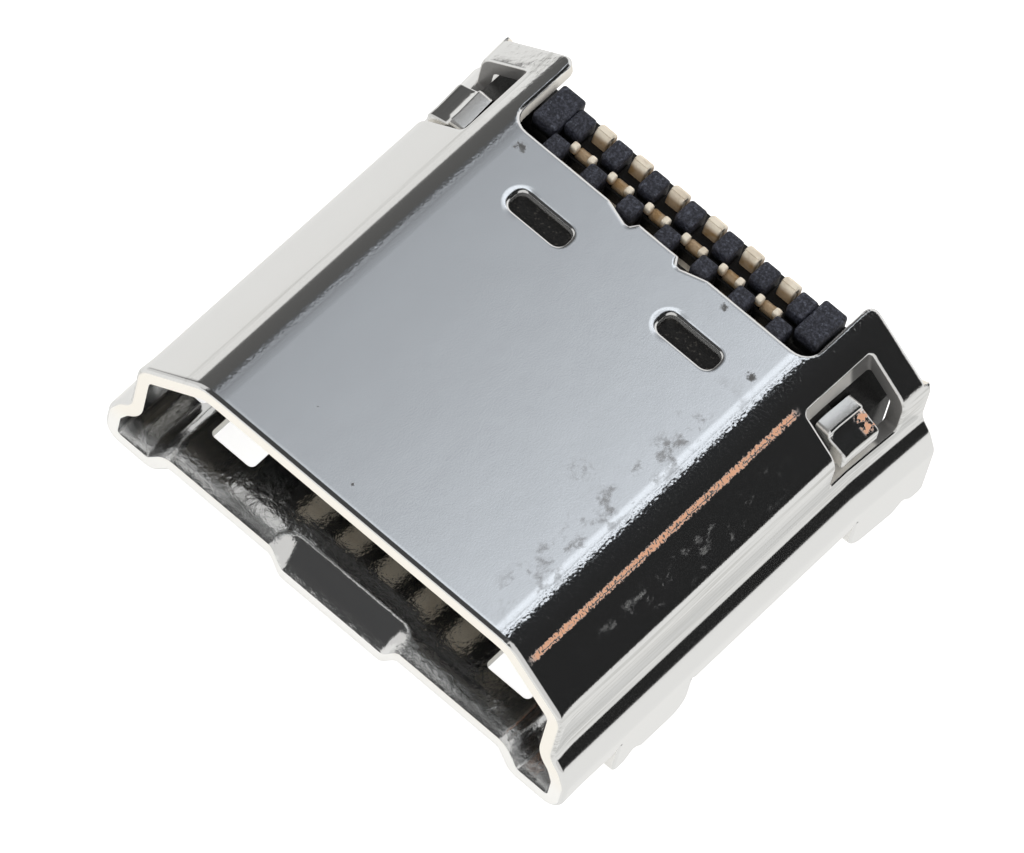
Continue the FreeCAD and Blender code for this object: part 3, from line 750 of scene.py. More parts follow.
@dataclass
class FoldedShell:
    """Sheet that is folded round the opening, with its cuts, legs and tabs.

    The sheet is laid out flat: s runs along the outside of the section from the middle of
    the top plate to the middle of the floor, y runs from the mouth to the back. One half is
    cut out flat, folded point by point and mirrored. Sizes are in millimetres.
    """

    sheet: float = 0.24
    opening_width: float = 6.90
    top_flat_width: float = 5.352
    chamfer_drop: float = 0.74
    wall_height: float = 0.88
    skirt_out: float = 0.34
    skirt_drop: float = 0.48
    gutter_drop: float = 0.33
    gutter_inset: float = 0.86
    gutter_slope: float = 0.25
    leg_reach: float = 0.76
    bends: tuple[float, ...] = (2.50, 0.55, 0.36, 0.25, 0.50, 0.38, 0.30, 0.30, 0.10)
    bend_steps: int = 12
    leg_bend: int = 6
    edge_roll: float = 3.0
    roll_start: float = 2.385
    skirt_crown: float = 0.045
    flare_length: float = 0.40
    flare_power: float = 1.6
    side_flare: float = 0.03
    floor_flare: float = 0.07
    scoop_width: float = 1.70
    scoop_shoulder: float = 0.30
    scoop_depth: float = 0.32
    splay: float = 0.09
    splay_length: float = 1.50
    lip_round: float = 0.07
    cut_round: float = 0.035
    slot_round: float = 0.045
    plate_round: float = 0.06
    window_round: float = 0.04
    cut_margin: float = 0.3
    press_corner: float = 0.02
    plate_setback: float = 1.405
    wing_gap_width: float = 5.20
    wing_corner: float = 0.28
    wing_setback: float = 0.08
    wing_end_round: float = 0.16
    notch_near: float = 0.35
    notch_width: float = 0.51
    notch_depth: float = 0.14
    notch_flank: float = 0.09
    notch_corner: float = 0.03
    slot_place: float = 5.15
    slot_spacing: float = 2.60
    slot_length: float = 0.95
    slot_width: float = 0.36
    slot_corner: float = 0.1368
    latch_spacing: float = 4.85
    latch_width: float = 0.75
    latch_length: float = 1.20
    latch_place: float = 0.66
    latch_corner: float = 0.08
    floor_gap_width: float = 5.00
    floor_length: float = 6.20
    floor_corner: float = 0.15
    window_front: float = 5.58
    window_rear: float = 6.92
    window_edge: float = 3.015
    window_drop: float = 1.40
    window_lean: float = 0.207
    window_corner: float = 0.07
    lean_above: float = 0.5
    lean_below: float = 0.35
    lean_beside: float = 0.25
    tab_front: float = 5.75
    tab_length: float = 0.70
    tab_jog: float = 0.33
    tab_top_drop: float = 0.60
    tab_shoulder: float = 0.13
    tab_root_drop: float = 1.07
    tab_corner: float = 0.07
    tab_outer_bends: Pair = (0.09, 0.05)
    tab_inner_bend: float = 0.12
    tab_steps: int = 33
    leg_width: float = 1.48
    leg_place: float = 1.16
    leg_near_corner: float = 0.12
    leg_far_corner: float = 0.30
    leg_notch_place: float = 0.42
    leg_notch_width: float = 0.34
    leg_notch_depth: float = 0.16
    leg_notch_corner: float = 0.04
    leg_notch_round: float = 0.05
    leg_relief: float = 0.06
    opening_edge: float = 2.98
    opening_corner: float = 0.10
    least_bend: float = 0.125
    tab_bend_steps: int = 8
    corner_steps: int = 6
    spacing: float = 0.05
    ring_angles: tuple[float, ...] = (22.5, 45, 67.5, 90)
    ring_beyond: float = 1.5
    flare_start: float = 0.14
    flare_rows: int = 7
    plain_start: float = 0.9
    row_spacing: float = 0.5
    splay_rows: int = 9
    plate_lines: tuple[float, ...] = (0.5, 1.0, 1.5, 2.0)
    scoop_margin: float = 0.05
    scoop_lines: int = 24
    sharp_angle: float = 38.0

    def __post_init__(self) -> None:
        """Work out the section and the lines of the flat sheet."""
        low, high = box_mm("outer_shell")
        self.mouth, self.top = float(low[1]), float(high[2])
        self.depth = float(high[1] - low[1])
        self.half = self.top_flat_width / 2 + self._chamfer_run()
        self._sections()

    def _chamfer_run(self) -> float:
        """How far the chamfer runs outwards from the top plate."""
        return self.opening_width / 2 + self.sheet - self.top_flat_width / 2

    def _sections(self) -> None:
        """Section lines outside and inside, at the base, the mouth and the back.

        The legs leave the sheet at leg_root, in the bend under the skirt, at height leg_long.
        """
        top, half = self.top, self.half
        side_top = top - self.chamfer_drop
        side_bottom = side_top - self.wall_height
        out = half + self.skirt_out
        low = self.leg_reach - self.gutter_drop
        fall, slope = math.tan(math.radians(self.edge_roll)), self.chamfer_drop / self._chamfer_run()
        bend = (slope * self.top_flat_width / 2 - fall * self.roll_start) / (slope - fall)
        crown = self.skirt_crown / math.hypot(self.skirt_out, self.skirt_drop)
        crest = (half + self.skirt_out / 2 + crown * self.skirt_drop,
                 side_bottom - self.skirt_drop / 2 + crown * self.skirt_out)
        corners = np.array([
            (0, top), (self.roll_start, top), (bend, top - fall * (bend - self.roll_start)),
            (half, side_top), (half, side_bottom), crest,
            (out, side_bottom - self.skirt_drop), (out, low), (out - self.gutter_inset, low),
            (out - self.gutter_inset - self.gutter_slope, self.leg_reach), (0, self.leg_reach),
        ])
        none = np.zeros(len(corners) - 1)
        flare = np.array([0, 0, 0, self.side_flare, 0, 0, 0] + [self.floor_flare] * 3)
        splay = np.array([0, 0, 0] + [self.splay] * 4 + [0, 0, 0])
        hollow = outward_corners(corners, none - self.sheet)
        turn = np.cross(np.diff(corners, axis=0)[:-1], np.diff(corners, axis=0)[1:])
        outer_bends = np.array(self.bends)
        tight = np.maximum(outer_bends - self.sheet, outer_bends * self.least_bend)
        inner_bends = np.where(turn < 0, tight, outer_bends + self.sheet)
        ends = np.zeros(1)
        outside = np.concatenate([ends, outer_bends, ends])
        within = np.concatenate([ends, inner_bends, ends])
        self.lines = {
            moved: tuple(rounded_line(outward_corners(shape, move), radii, self.bend_steps)
                         for shape, radii in ((corners, outside), (hollow, within)))
            for moved, move in (("base", none), ("mouth", flare), ("back", splay))
        }
        self.stations = length_along(self.lines["base"][0])
        self.full = float(self.stations[-1])
        root = 1 + self.leg_bend * (self.bend_steps + 1)
        self.leg_root = float(self.stations[root])
        self.leg_long = float(self.lines["base"][0][root, 1])

    def upper_s(self, x: float) -> float:
        """Place on the sheet of a width x on the top plate or the chamfer."""
        line = self.lines["base"][0]
        reach = int(np.argmax(line[:, 0] >= self.half - SPECK)) + 1
        return float(np.interp(x, line[:reach, 0], self.stations[:reach]))

    def side_s(self, z: float) -> float:
        """Place on the sheet of a height z on the chamfer, the wall or the skirt."""
        line = self.lines["base"][0]
        reach = int(np.argmin(line[:, 1]))
        return float(np.interp(-z, -line[:reach, 1], self.stations[:reach]))

    def lower_s(self, x: float) -> float:
        """Place on the sheet of a width x under the gutter or the floor."""
        line = self.lines["base"][0]
        start = int(np.argmin(line[:, 1]))
        return float(np.interp(-x, -line[start:, 0], self.stations[start:]))

    def fold(self, s: np.ndarray, y: np.ndarray, depth: np.ndarray) -> np.ndarray:
        """Points in space of places on the flat sheet.

        L(s, y) = base + (1 - y / f)^p (mouth - base) + (y - y0) / l (back - base) for each
        face, P = outer + depth / sheet (inner - outer), and the scoop lowers the floor by
        its depth times the weight of the mouth.

        Args:
            s: Places along the section.
            y: Places from the mouth to the back.
            depth: Depths under the outer face.

        Returns:
            An (n, 3) array of points, with y from the mouth.
        """
        place = np.interp(s, self.stations, np.arange(len(self.stations)))
        at_mouth = np.clip(1 - y / self.flare_length, 0, 1) ** self.flare_power
        at_back = np.clip((y - self.depth + self.splay_length) / self.splay_length, 0, 1)
        share = depth / self.sheet
        result = np.zeros((len(s), 2))
        for face, weight in ((0, 1 - share), (1, share)):
            base, mouth, back = (self._at(self.lines[name][face], place)
                                 for name in ("base", "mouth", "back"))
            line = base + at_mouth[:, None] * (mouth - base) + at_back[:, None] * (back - base)
            result += line * weight[:, None]
        x, z = result.T
        shoulder = 1 - smooth((np.abs(x) - self.scoop_width / 2) / self.scoop_shoulder)
        z = z - np.where(s > self.full / 2, self.scoop_depth * shoulder * at_mouth, 0)
        return np.stack([x, y, z], axis=1)

    @staticmethod
    def _at(line: np.ndarray, place: np.ndarray) -> np.ndarray:
        """Points of a line at fractional indices."""
        index = np.arange(len(line))
        return np.stack([np.interp(place, index, column) for column in line.T], axis=1)

    def cut_loops(self) -> list[tuple[np.ndarray, float]]:
        """Outlines of what is cut from the flat sheet, each with the round of its edge."""
        far, tight = self.cut_margin, self.press_corner
        plate = self.depth - self.plate_setback
        wing = self.depth - self.wing_setback
        gap = self.upper_s(self.wing_gap_width / 2)
        side = self.side_s(self.top - self.chamfer_drop)
        near, far_side = self.notch_near, self.notch_near + self.notch_width
        back = self.depth + far
        plate_end = self._loop(
            [(-far, plate), (near, plate), (near + self.notch_flank, plate - self.notch_depth),
             (far_side, plate), (gap, plate), (gap, wing), (side, wing), (side, back), (-far, back)],
            [0] + [self.notch_corner] * 3 + [self.wing_corner, self.wing_end_round, tight, 0, 0])
        middle, place = self.slot_spacing / 2, self.slot_place
        long, wide = self.slot_length / 2, self.slot_width / 2
        slot = self._box((middle - long, middle + long), (place - wide, place + wide), self.slot_corner)
        sides = [self.lower_s(self.latch_spacing / 2 + way * self.latch_width / 2) for way in (1, -1)]
        latch = self._box(sides, (self.latch_place, self.latch_place + self.latch_length),
                          self.latch_corner)
        floor_end = self._box((self.lower_s(self.floor_gap_width / 2), self.full + far),
                              (self.floor_length, back), self.floor_corner, 0, 0, 0)
        self.window_top = self.upper_s(self.window_edge)
        window = self._box((self.window_top, self.side_s(self.top - self.window_drop)),
                           (self.window_front, self.window_rear), self.window_corner)
        opening = self.leg_root, self.lower_s(self.opening_edge)
        corner, plain = self.opening_corner, self.cut_round
        loops = [(plate_end, self.plate_round), (slot, self.slot_round), (latch, plain),
                 (floor_end, plain), (window, self.window_round)]
        for start in (self.leg_place, self.depth - self.leg_width):
            ends = start - self.leg_relief, start + self.leg_width + self.leg_relief
            loops.append((self._box(opening, ends, tight, corner, corner, tight), plain))
        return loops

    def tab_path(self) -> tuple[np.ndarray, np.ndarray]:
        """Lines of the outer and the inner face of a tab, from its root to its free end."""
        out, inner = self.half, self.half - self.sheet
        sill = self.top - self.chamfer_drop - self.bends[2] / 4
        root = self.top - self.tab_root_drop
        end = self.top - self.tab_top_drop
        shoulder = sill + self.tab_shoulder
        jog = self.tab_jog
        outer_line = np.array([(out, root), (out, sill), (out - jog, shoulder), (out - jog, end)])
        inner_line = np.array([(inner, root), (inner - jog, shoulder - self.sheet),
                               (inner - jog, end)])
        steps = self.tab_bend_steps
        lines = (rounded_line(outer_line, np.array([0, *self.tab_outer_bends, 0]), steps),
                 rounded_line(inner_line, np.array([0, self.tab_inner_bend, 0]), steps))
        share = np.linspace(0, 1, self.tab_steps)
        resampled = []
        for line in lines:
            run = length_along(line)
            resampled.append(np.stack([np.interp(share * run[-1], run, part) for part in line.T], 1))
        self.tab_run = float(length_along(lines[0])[-1])
        return resampled[0], resampled[1]

    def tongue_loops(self) -> dict[str, np.ndarray]:
        """Outlines of the legs and the tab where they lie in their openings."""
        root, inset = self.leg_root, self.leg_notch_width / 2
        tip = root + self.leg_long
        loops = {}
        for name, start, way in (("front_leg", self.leg_place, 1), ("rear_leg", self.depth, -1)):
            outline = [(root, 0), (tip, 0), (tip, self.leg_notch_place - inset),
                       (tip - self.leg_notch_depth, self.leg_notch_place),
                       (tip, self.leg_notch_place + inset), (tip, self.leg_width),
                       (root, self.leg_width)]
            placed = [(s, start + way * along) for s, along in outline]
            loops[name] = self._loop(placed, [0, self.leg_near_corner, self.leg_notch_corner,
                                              self.leg_notch_round, self.leg_notch_corner,
                                              self.leg_far_corner, 0])
        self.tab_path()
        self.tab_root = self.side_s(self.top - self.tab_root_drop)
        loops["tab"] = self._box((self.tab_root - self.tab_run, self.tab_root),
                                 (self.tab_front, self.tab_front + self.tab_length),
                                 self.tab_corner, 0, 0, self.tab_corner)
        return loops

    def _loop(self, corners: list[Pair], radii: list[float]) -> np.ndarray:
        """Closed outline with round corners and close points."""
        rounded = rounded_line(np.array(corners, float), np.array(radii, float),
                               self.corner_steps, True)
        return evenly(rounded, self.spacing, True)

    def _box(self, s: Sequence[float], y: Pair, *radii: float) -> np.ndarray:
        """Closed rectangle between two s and two y, with one radius or one for each corner."""
        corners = [(s[0], y[0]), (s[1], y[0]), (s[1], y[1]), (s[0], y[1])]
        return self._loop(corners, list(radii) * (4 // len(radii)))

    def flat_pattern(self) -> tuple[np.ndarray, np.ndarray, dict[str, np.ndarray], np.ndarray]:
        """Triangles of the flat half sheet.

        Lines along every bend, lines across it, and each outline with rings beside it at
        r (1 - cos a) are the edges of a constrained triangulation.

        Returns:
            Points (s, y), triangles, the outlines of the tongues, and the round of the edge
            that each point is nearest to.
        """
        cuts, tongues = self.cut_loops(), self.tongue_loops()
        full, depth = self.full, self.depth
        shares = np.append(1 - np.cos(np.radians(self.ring_angles)), self.ring_beyond)
        flare = np.linspace(self.flare_start, self.flare_length, self.flare_rows)
        splay = depth - self.splay_length
        across = np.concatenate([[0], self.lip_round * shares, flare,
                                 np.arange(self.plain_start, splay, self.row_spacing),
                                 np.linspace(splay, depth, self.splay_rows)[:-1],
                                 depth - self.cut_round * shares, [depth]])
        margin, reach = self.scoop_margin, self.scoop_width / 2 + self.scoop_shoulder
        scoop = np.linspace(margin, reach + 2 * margin, self.scoop_lines)
        along = np.concatenate([self.stations, self.plate_lines, full - scoop])
        starts = np.concatenate([np.stack([along, np.zeros_like(along)], 1),
                                 np.stack([np.zeros_like(across), across], 1)])
        stops = np.concatenate([np.stack([along, np.full_like(along, depth)], 1),
                                np.stack([np.full_like(across, full), across], 1)])
        points = [starts, stops]
        count = len(starts)
        edges = [np.stack([np.arange(count), np.arange(count) + count], 1)]
        total = 2 * count
        rims = [(loop, radius, 1) for loop, radius in cuts]
        rims += [(tongue, self.cut_round, -1) for tongue in tongues.values()]
        for loop, radius, side in rims:
            run = np.roll(loop, -1, axis=0) - np.roll(loop, 1, axis=0)
            area = (loop[:, 0] * np.roll(loop[:, 1], -1) - np.roll(loop[:, 0], -1) * loop[:, 1]).sum()
            normal = np.stack([run[:, 1], -run[:, 0]], 1) * np.sign(area) * side
            normal /= np.linalg.norm(normal, axis=1, keepdims=True)
            for ring in np.concatenate([[0], shares]) * radius:
                index = np.arange(len(loop)) + total
                points.append(loop + normal * ring)
                edges.append(np.stack([index, np.roll(index, -1)], 1))
                total += len(loop)
        points, edges = np.concatenate(points), np.concatenate(edges)
        made = delaunay_2d_cdt([Vector(p) for p in points.tolist()], edges.tolist(), [], 0, HAIR)
        flat = np.array([tuple(p) for p in made[0]])
        triangles = np.array([face for face in made[2] if len(face) == 3])
        middle = flat[triangles].mean(axis=1)
        kept = (middle > 0).all(axis=1) & (middle[:, 0] < full) & (middle[:, 1] < depth)
        for cut, _ in cuts:
            kept &= ~inside(middle, cut)
        for tongue in tongues.values():
            kept |= inside(middle, tongue) & (middle[:, 1] < depth)
        a, b, c = (flat[triangles[:, i]] for i in range(3))
        area = np.cross(b - a, c - a)
        triangles = np.where((area < 0)[:, None], triangles[:, ::-1], triangles)
        triangles = triangles[kept & (np.abs(area) > SPECK)]
        used, fresh = np.unique(triangles, return_inverse=True)
        flat = flat[used]
        by_lip = flat[:, 1] < self.lip_round * self.ring_beyond
        rounds = np.where(by_lip, self.lip_round, self.cut_round)
        for loop, radius in cuts:
            if radius == self.cut_round:
                continue
            low, high = loop.min(axis=0) - radius, loop.max(axis=0) + radius
            near = ((flat > low) & (flat < high)).all(axis=1)
            rounds = np.where(near & (flat[:, 1] < depth - radius), radius, rounds)
        return flat, fresh.reshape(-1, 3), tongues, rounds

    def build(self, material: bpy.types.Material) -> bpy.types.Object:
        """Fold the flat pattern into the shell, both faces and every cut edge."""
        flat, triangles, tongues, radius = self.flat_pattern()
        s, y = flat.T
        pairs = np.concatenate([triangles[:, [0, 1]], triangles[:, [1, 2]], triangles[:, [2, 0]]])
        key = np.sort(pairs, axis=1)
        _, index, counts = np.unique(key, axis=0, return_index=True, return_counts=True)
        rim = pairs[index[counts == 1]]
        seam = (s[rim] < TOUCH).all(1) | (s[rim] > self.full - TOUCH).all(1)
        rim = rim[~seam]
        gap = distance_to(flat, flat[rim[:, 0]], flat[rim[:, 1]])
        depth = radius - np.sqrt(np.maximum(radius ** 2 - np.clip(radius - gap, 0, None) ** 2, 0))
        above, beside = self.lean_above, self.lean_beside
        lean = smooth((s - self.window_top + above) / above)
        lean *= 1 - smooth((s - self.window_top) / self.lean_below)
        lean *= smooth((y - self.window_front + beside) / beside)
        lean *= 1 - smooth((y - self.window_rear) / beside)
        on_tongue = self._on(tongues, flat)
        lean = np.where(on_tongue["tab"], 0, lean * self.window_lean)
        outer = self._placed(flat, depth, on_tongue)
        inner = self._placed(np.stack([s + lean, y], 1), np.full(len(s), self.sheet), on_tongue)
        count = len(flat)
        points = np.concatenate([outer, inner])
        walls = np.stack([rim[:, 1], rim[:, 0], rim[:, 0] + count, rim[:, 1] + count], axis=1)
        faces = as_faces(triangles) + as_faces((triangles + count)[:, ::-1]) + as_faces(walls)
        mirrored = points * np.array([-1, 1, 1])
        faces += [tuple(i + 2 * count for i in face[::-1]) for face in faces]
        points = np.concatenate([points, mirrored]) + np.array([0, self.mouth, 0])
        cut = np.tile(np.where(gap < TOUCH, 1.0, 0.0), 4)
        return self._finish(points, faces, cut, np.tile(flat, (4, 1)), material)

    def _on(self, tongues: dict[str, np.ndarray], flat: np.ndarray) -> dict[str, np.ndarray]:
        """Which flat points belong to each tongue, its outline with them."""
        result = {}
        for name, loop in tongues.items():
            low, high = loop.min(axis=0) - NEAR, loop.max(axis=0) + NEAR
            within = ((flat > low) & (flat < high)).all(axis=1)
            root = self.tab_root if name == "tab" else self.leg_root
            beyond = flat[:, 0] < root - HAIR if name == "tab" else flat[:, 0] > root + HAIR
            result[name] = within & beyond
        return result

    def _placed(self, flat: np.ndarray, depth: np.ndarray,
                on_tongue: dict[str, np.ndarray]) -> np.ndarray:
        """Points in space of the sheet, with the legs straight down and the tab on its own line."""
        s, y = flat.T
        root = self.leg_root
        leg = on_tongue["front_leg"] | on_tongue["rear_leg"]
        points = self.fold(np.where(leg, root, s), y, depth)
        points[:, 2] -= np.where(leg, s - root, 0)
        outer, inner = self.tab_path()
        tab = on_tongue["tab"]
        share = np.clip((self.tab_root - s) / self.tab_run, 0, 1) * (len(outer) - 1)
        deep = (depth / self.sheet)[:, None]
        line = self._at(outer, share) * (1 - deep) + self._at(inner, share) * deep
        shift = self.fold(np.full(len(s), self.tab_root), y, depth * 0)[:, 0] - self.half
        placed = np.stack([line[:, 0] + shift, y, line[:, 1]], axis=1)
        return np.where(tab[:, None], placed, points)

    def _finish(self, points: np.ndarray, faces: list[Face], cut: np.ndarray,
                flat: np.ndarray, material: bpy.types.Material) -> bpy.types.Object:
        """Object with merged seams, marked cut edges and the flat sheet as its UV map."""
        mesh = bpy.data.meshes.new("folded_shell")
        mesh.from_pydata((points * MM).tolist(), [], faces)
        marks = mesh.attributes.new("cut_edge", "FLOAT", "POINT")
        marks.data.foreach_set("value", cut.astype(np.float32))
        corner = np.zeros(len(mesh.loops), np.int32)
        mesh.loops.foreach_get("vertex_index", corner)
        layer = mesh.uv_layers.new(name="flat_sheet")
        layer.data.foreach_set("uv", flat[corner].astype(np.float32).ravel())
        work = bmesh.new()
        work.from_mesh(mesh)
        bmesh.ops.remove_doubles(work, verts=work.verts, dist=TOUCH * MM)
        bmesh.ops.dissolve_degenerate(work, dist=HAIR * MM, edges=work.edges)
        work.to_mesh(mesh)
        work.free()
        shell = finished(mesh, material, self.sharp_angle)
        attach(shell, "root")
        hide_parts("outer_shell")
        return shell


@dataclass
class Studio:
    """Pale floor, soft light, the panels that the metal reflects, and the camera."""

    floor_size: float = 900.0
    floor_gap: float = 0.004
    floor_parts: int = 8
    floor_paint: Triple = (0.86, 0.86, 0.85)
    floor_glow: float = 0.62
    mirror_tint: Triple = (1.0, 0.99, 0.96)
    mirror_glow: float = 0.92
    warm: Triple = (1.0, 0.985, 0.95)
    cool: Triple = (0.92, 0.97, 1.03)
    rear_panels: tuple[Pair, ...] = (
        (-180, 0.90), (-87, 0.96), (-84, 0.12), (-34, 0.10))
    top_panels: tuple[Pair, ...] = (
        (-25, 0.10), (-23, 0.36), (-17.2, 0.365), (-16.2, 0.35), (-15.2, 0.60), (-13.8, 1.35),
        (-10.2, 1.35), (-8.4, 0.02))
    side_panels: tuple[Pair, ...] = ((89, 0.015), (92, 0.92), (180, 0.90))
    front_tone: Triple = (0.75, 0.74, 0.72)
    front_panel: Triple = (0.06, 0.06, 0.06)
    front_panel_zone: Triple = (-0.60, 0.10, 0.06)
    rear_tone: Triple = (0.95, 0.94, 0.92)
    rear_zone: Pair = (0.62, 0.76)
    front_zone: Pair = (0.0, 0.2)
    near_clip: float = 0.01
    diffuse_tone: Triple = (0.85, 0.85, 0.85)
    lamp_set: tuple[tuple[str, Triple, float, float], ...] = (
        ("overhead_lamp", (-60, 20, 160), 120, 0.05), ("front_lamp", (20, -160, 90), 90, 0.04))
    camera_place: Triple = (35.3986, -68.4360, 124.7488)
    camera_axes: tuple[Triple, ...] = (
        (0.74492518, -0.62113383, 0.24347329),
        (0.65105530, 0.59714381, -0.46855764),
        (0.14564843, 0.50755496, 0.84921993),
    )
    focal_length: float = 388.28
    sensor_width: float = 36.0

    def build(self) -> None:
        """Make everything around the port."""
        self.floor()
        self.world()
        self.lamps()
        self.camera()
        bpy.context.scene.view_settings.view_transform = "Standard"

    def floor(self) -> bpy.types.Object:
        """Wide pale floor under the legs."""
        half = self.floor_size / 2 * MM
        steps = np.linspace(-half, half, self.floor_parts + 1)
        gx, gy = np.meshgrid(steps, steps, indexing="ij")
        points = np.stack([gx, gy, np.full_like(gx, -self.floor_gap * MM)], axis=-1).reshape(-1, 3)
        mesh = bpy.data.meshes.new("studio_floor")
        quads = grid_faces(np.arange(gx.size).reshape(gx.shape))
        mesh.from_pydata(points.tolist(), [], as_faces(quads))
        floor = new_object("studio_floor", mesh)
        material, tree = new_material("floor_paint")
        path = tree.node("ShaderNodeLightPath")
        seen = Value(tree, path.outputs["Is Camera Ray"]) * self.floor_glow
        paper = tree.node("ShaderNodeBsdfDiffuse", None, {0: (*self.floor_paint, 1.0)})
        glow = tree.node("ShaderNodeEmission", None, {0: (1.0, 1.0, 1.0, 1.0), 1: seen})
        both = tree.node("ShaderNodeAddShader", None, {0: paper.outputs[0], 1: glow.outputs[0]})
        even = tree.node("ShaderNodeEmission", None, {0: (*self.mirror_tint, 1.0), 1: self.mirror_glow})
        mixed = tree.node("ShaderNodeMixShader", None,
                          {0: path.outputs["Is Glossy Ray"], 1: both.outputs[0], 2: even.outputs[0]})
        tree.node("ShaderNodeOutputMaterial", None, {0: mixed.outputs[0]})
        mesh.materials.append(material)
        return floor

    def world(self) -> None:
        """White surroundings for the camera, and panels of grey and black for the metal.

        A panel depends on the turn of a direction about Y, phi = atan2(x, z). Behind the
        port the panels end in white, and in front of it one narrow black panel stands in grey.
        """
        world = bpy.data.worlds.new("studio_world")
        bpy.context.scene.world = world
        tree = Tree(world)
        coords = tree.node("ShaderNodeTexCoord")
        x, y, z = tree.parts(coords.outputs["Generated"])
        turn = tree.math("ARCTAN2", x, z) / (2 * math.pi) + 0.5
        sets = ((self.rear_panels, self.warm), (self.top_panels, self.cool),
                (self.side_panels, self.warm))
        stops = [((angle + 180) / 360, tuple(tone * part for part in tint))
                 for panels, tint in sets for angle, tone in panels]
        ring = tree.node("ShaderNodeValToRGB", {"stops": stops}, {0: turn}).outputs[0]
        front = tree.mix(x.band(*self.front_panel_zone), self.front_tone, self.front_panel)
        sky = tree.mix(y.rise(*self.front_zone), front, ring)
        sky = tree.mix(y.rise(*self.rear_zone), sky, self.rear_tone)
        path = tree.node("ShaderNodeLightPath")
        seen = tree.mix(path.outputs["Is Glossy Ray"], self.diffuse_tone, sky)
        seen = tree.mix(path.outputs["Is Camera Ray"], seen, (1.0, 1.0, 1.0))
        back = tree.node("ShaderNodeBackground", None, {0: seen, 1: 1.0})
        tree.node("ShaderNodeOutputWorld", None, {0: back.outputs[0]})

    def lamps(self) -> None:
        """One large soft lamp overhead and a weaker one in front."""
        for name, place, size, power in self.lamp_set:
            light = bpy.data.lights.new(name, "AREA")
            light.shape = "DISK"
            light.size = size * MM
            light.energy = power
            lamp = new_object(name, light)
            start = Vector(place) * MM
            turn = (-start).to_track_quat("-Z", "Y").to_matrix().to_4x4()
            lamp.matrix_world = Matrix.Translation(start) @ turn
            lamp.visible_glossy = False

    def camera(self) -> None:
        """Camera at the place and turn that were fitted to the photo."""
        data = bpy.data.cameras.new("camera")
        data.sensor_fit = "HORIZONTAL"
        data.sensor_width = self.sensor_width
        data.lens = self.focal_length
        data.clip_start = self.near_clip
        camera = new_object("camera", data)
        turn = Matrix(self.camera_axes).to_4x4()
        camera.matrix_world = Matrix.Translation(Vector(self.camera_place) * MM) @ turn
        bpy.context.scene.camera = camera


@dataclass
class MouldedPiece:
    """A moulding of the CAD model with its sharp edges rounded off."""

    node: str
    edge_round: float = 0.022
    sharp_angle: float = 40.0

    def build(self, material: bpy.types.Material) -> bpy.types.Object:
        """Round the edges of a merged copy of the node, and let it stand for the node."""
        work = merged_copy(self.node)
        round_edges(work, self.edge_round, self.sharp_angle)
        return finish_moulding(work, self.node, material)


def rounded_block(low: Sequence[float], high: Sequence[float], radius: float) -> Patch:
    """Box with round edges.

    A point p of the sharp box, seen from its middle, moves to c + r (p - c) / |p - c|, where
    c is p held inside the box that is smaller by r on each side.

    Args:
        low: Lowest corner.
        high: Highest corner.
        radius: Radius r of the edges.

    Returns:
        Points and faces.
    """
    low, high = np.array(low, float), np.array(high, float)
    half, middle = (high - low) / 2, (high + low) / 2
    edge = np.array(ROUND_LINES)
    points, faces = [], []
    for axis in range(3):
        others = [(axis + 1) % 3, (axis + 2) % 3]
        lines = [np.concatenate([-half[o] + radius * edge, half[o] - radius * edge[::-1]])
                 for o in others]
        a, b = np.meshgrid(*lines, indexing="ij")
        for side in (-1, 1):
            patch = np.empty(a.shape + (3,))
            patch[..., axis], patch[..., others[0]], patch[..., others[1]] = side * half[axis], a, b
            index = np.arange(a.size).reshape(a.shape) + sum(len(p) for p in points)
            points.append(patch.reshape(-1, 3))
            faces += as_faces(grid_faces(index)[:, ::side])
    sharp = np.concatenate(points)
    core = np.clip(sharp, -(half - radius), half - radius)
    away = sharp - core
    return core + radius * away / np.linalg.norm(away, axis=1, keepdims=True) + middle, faces


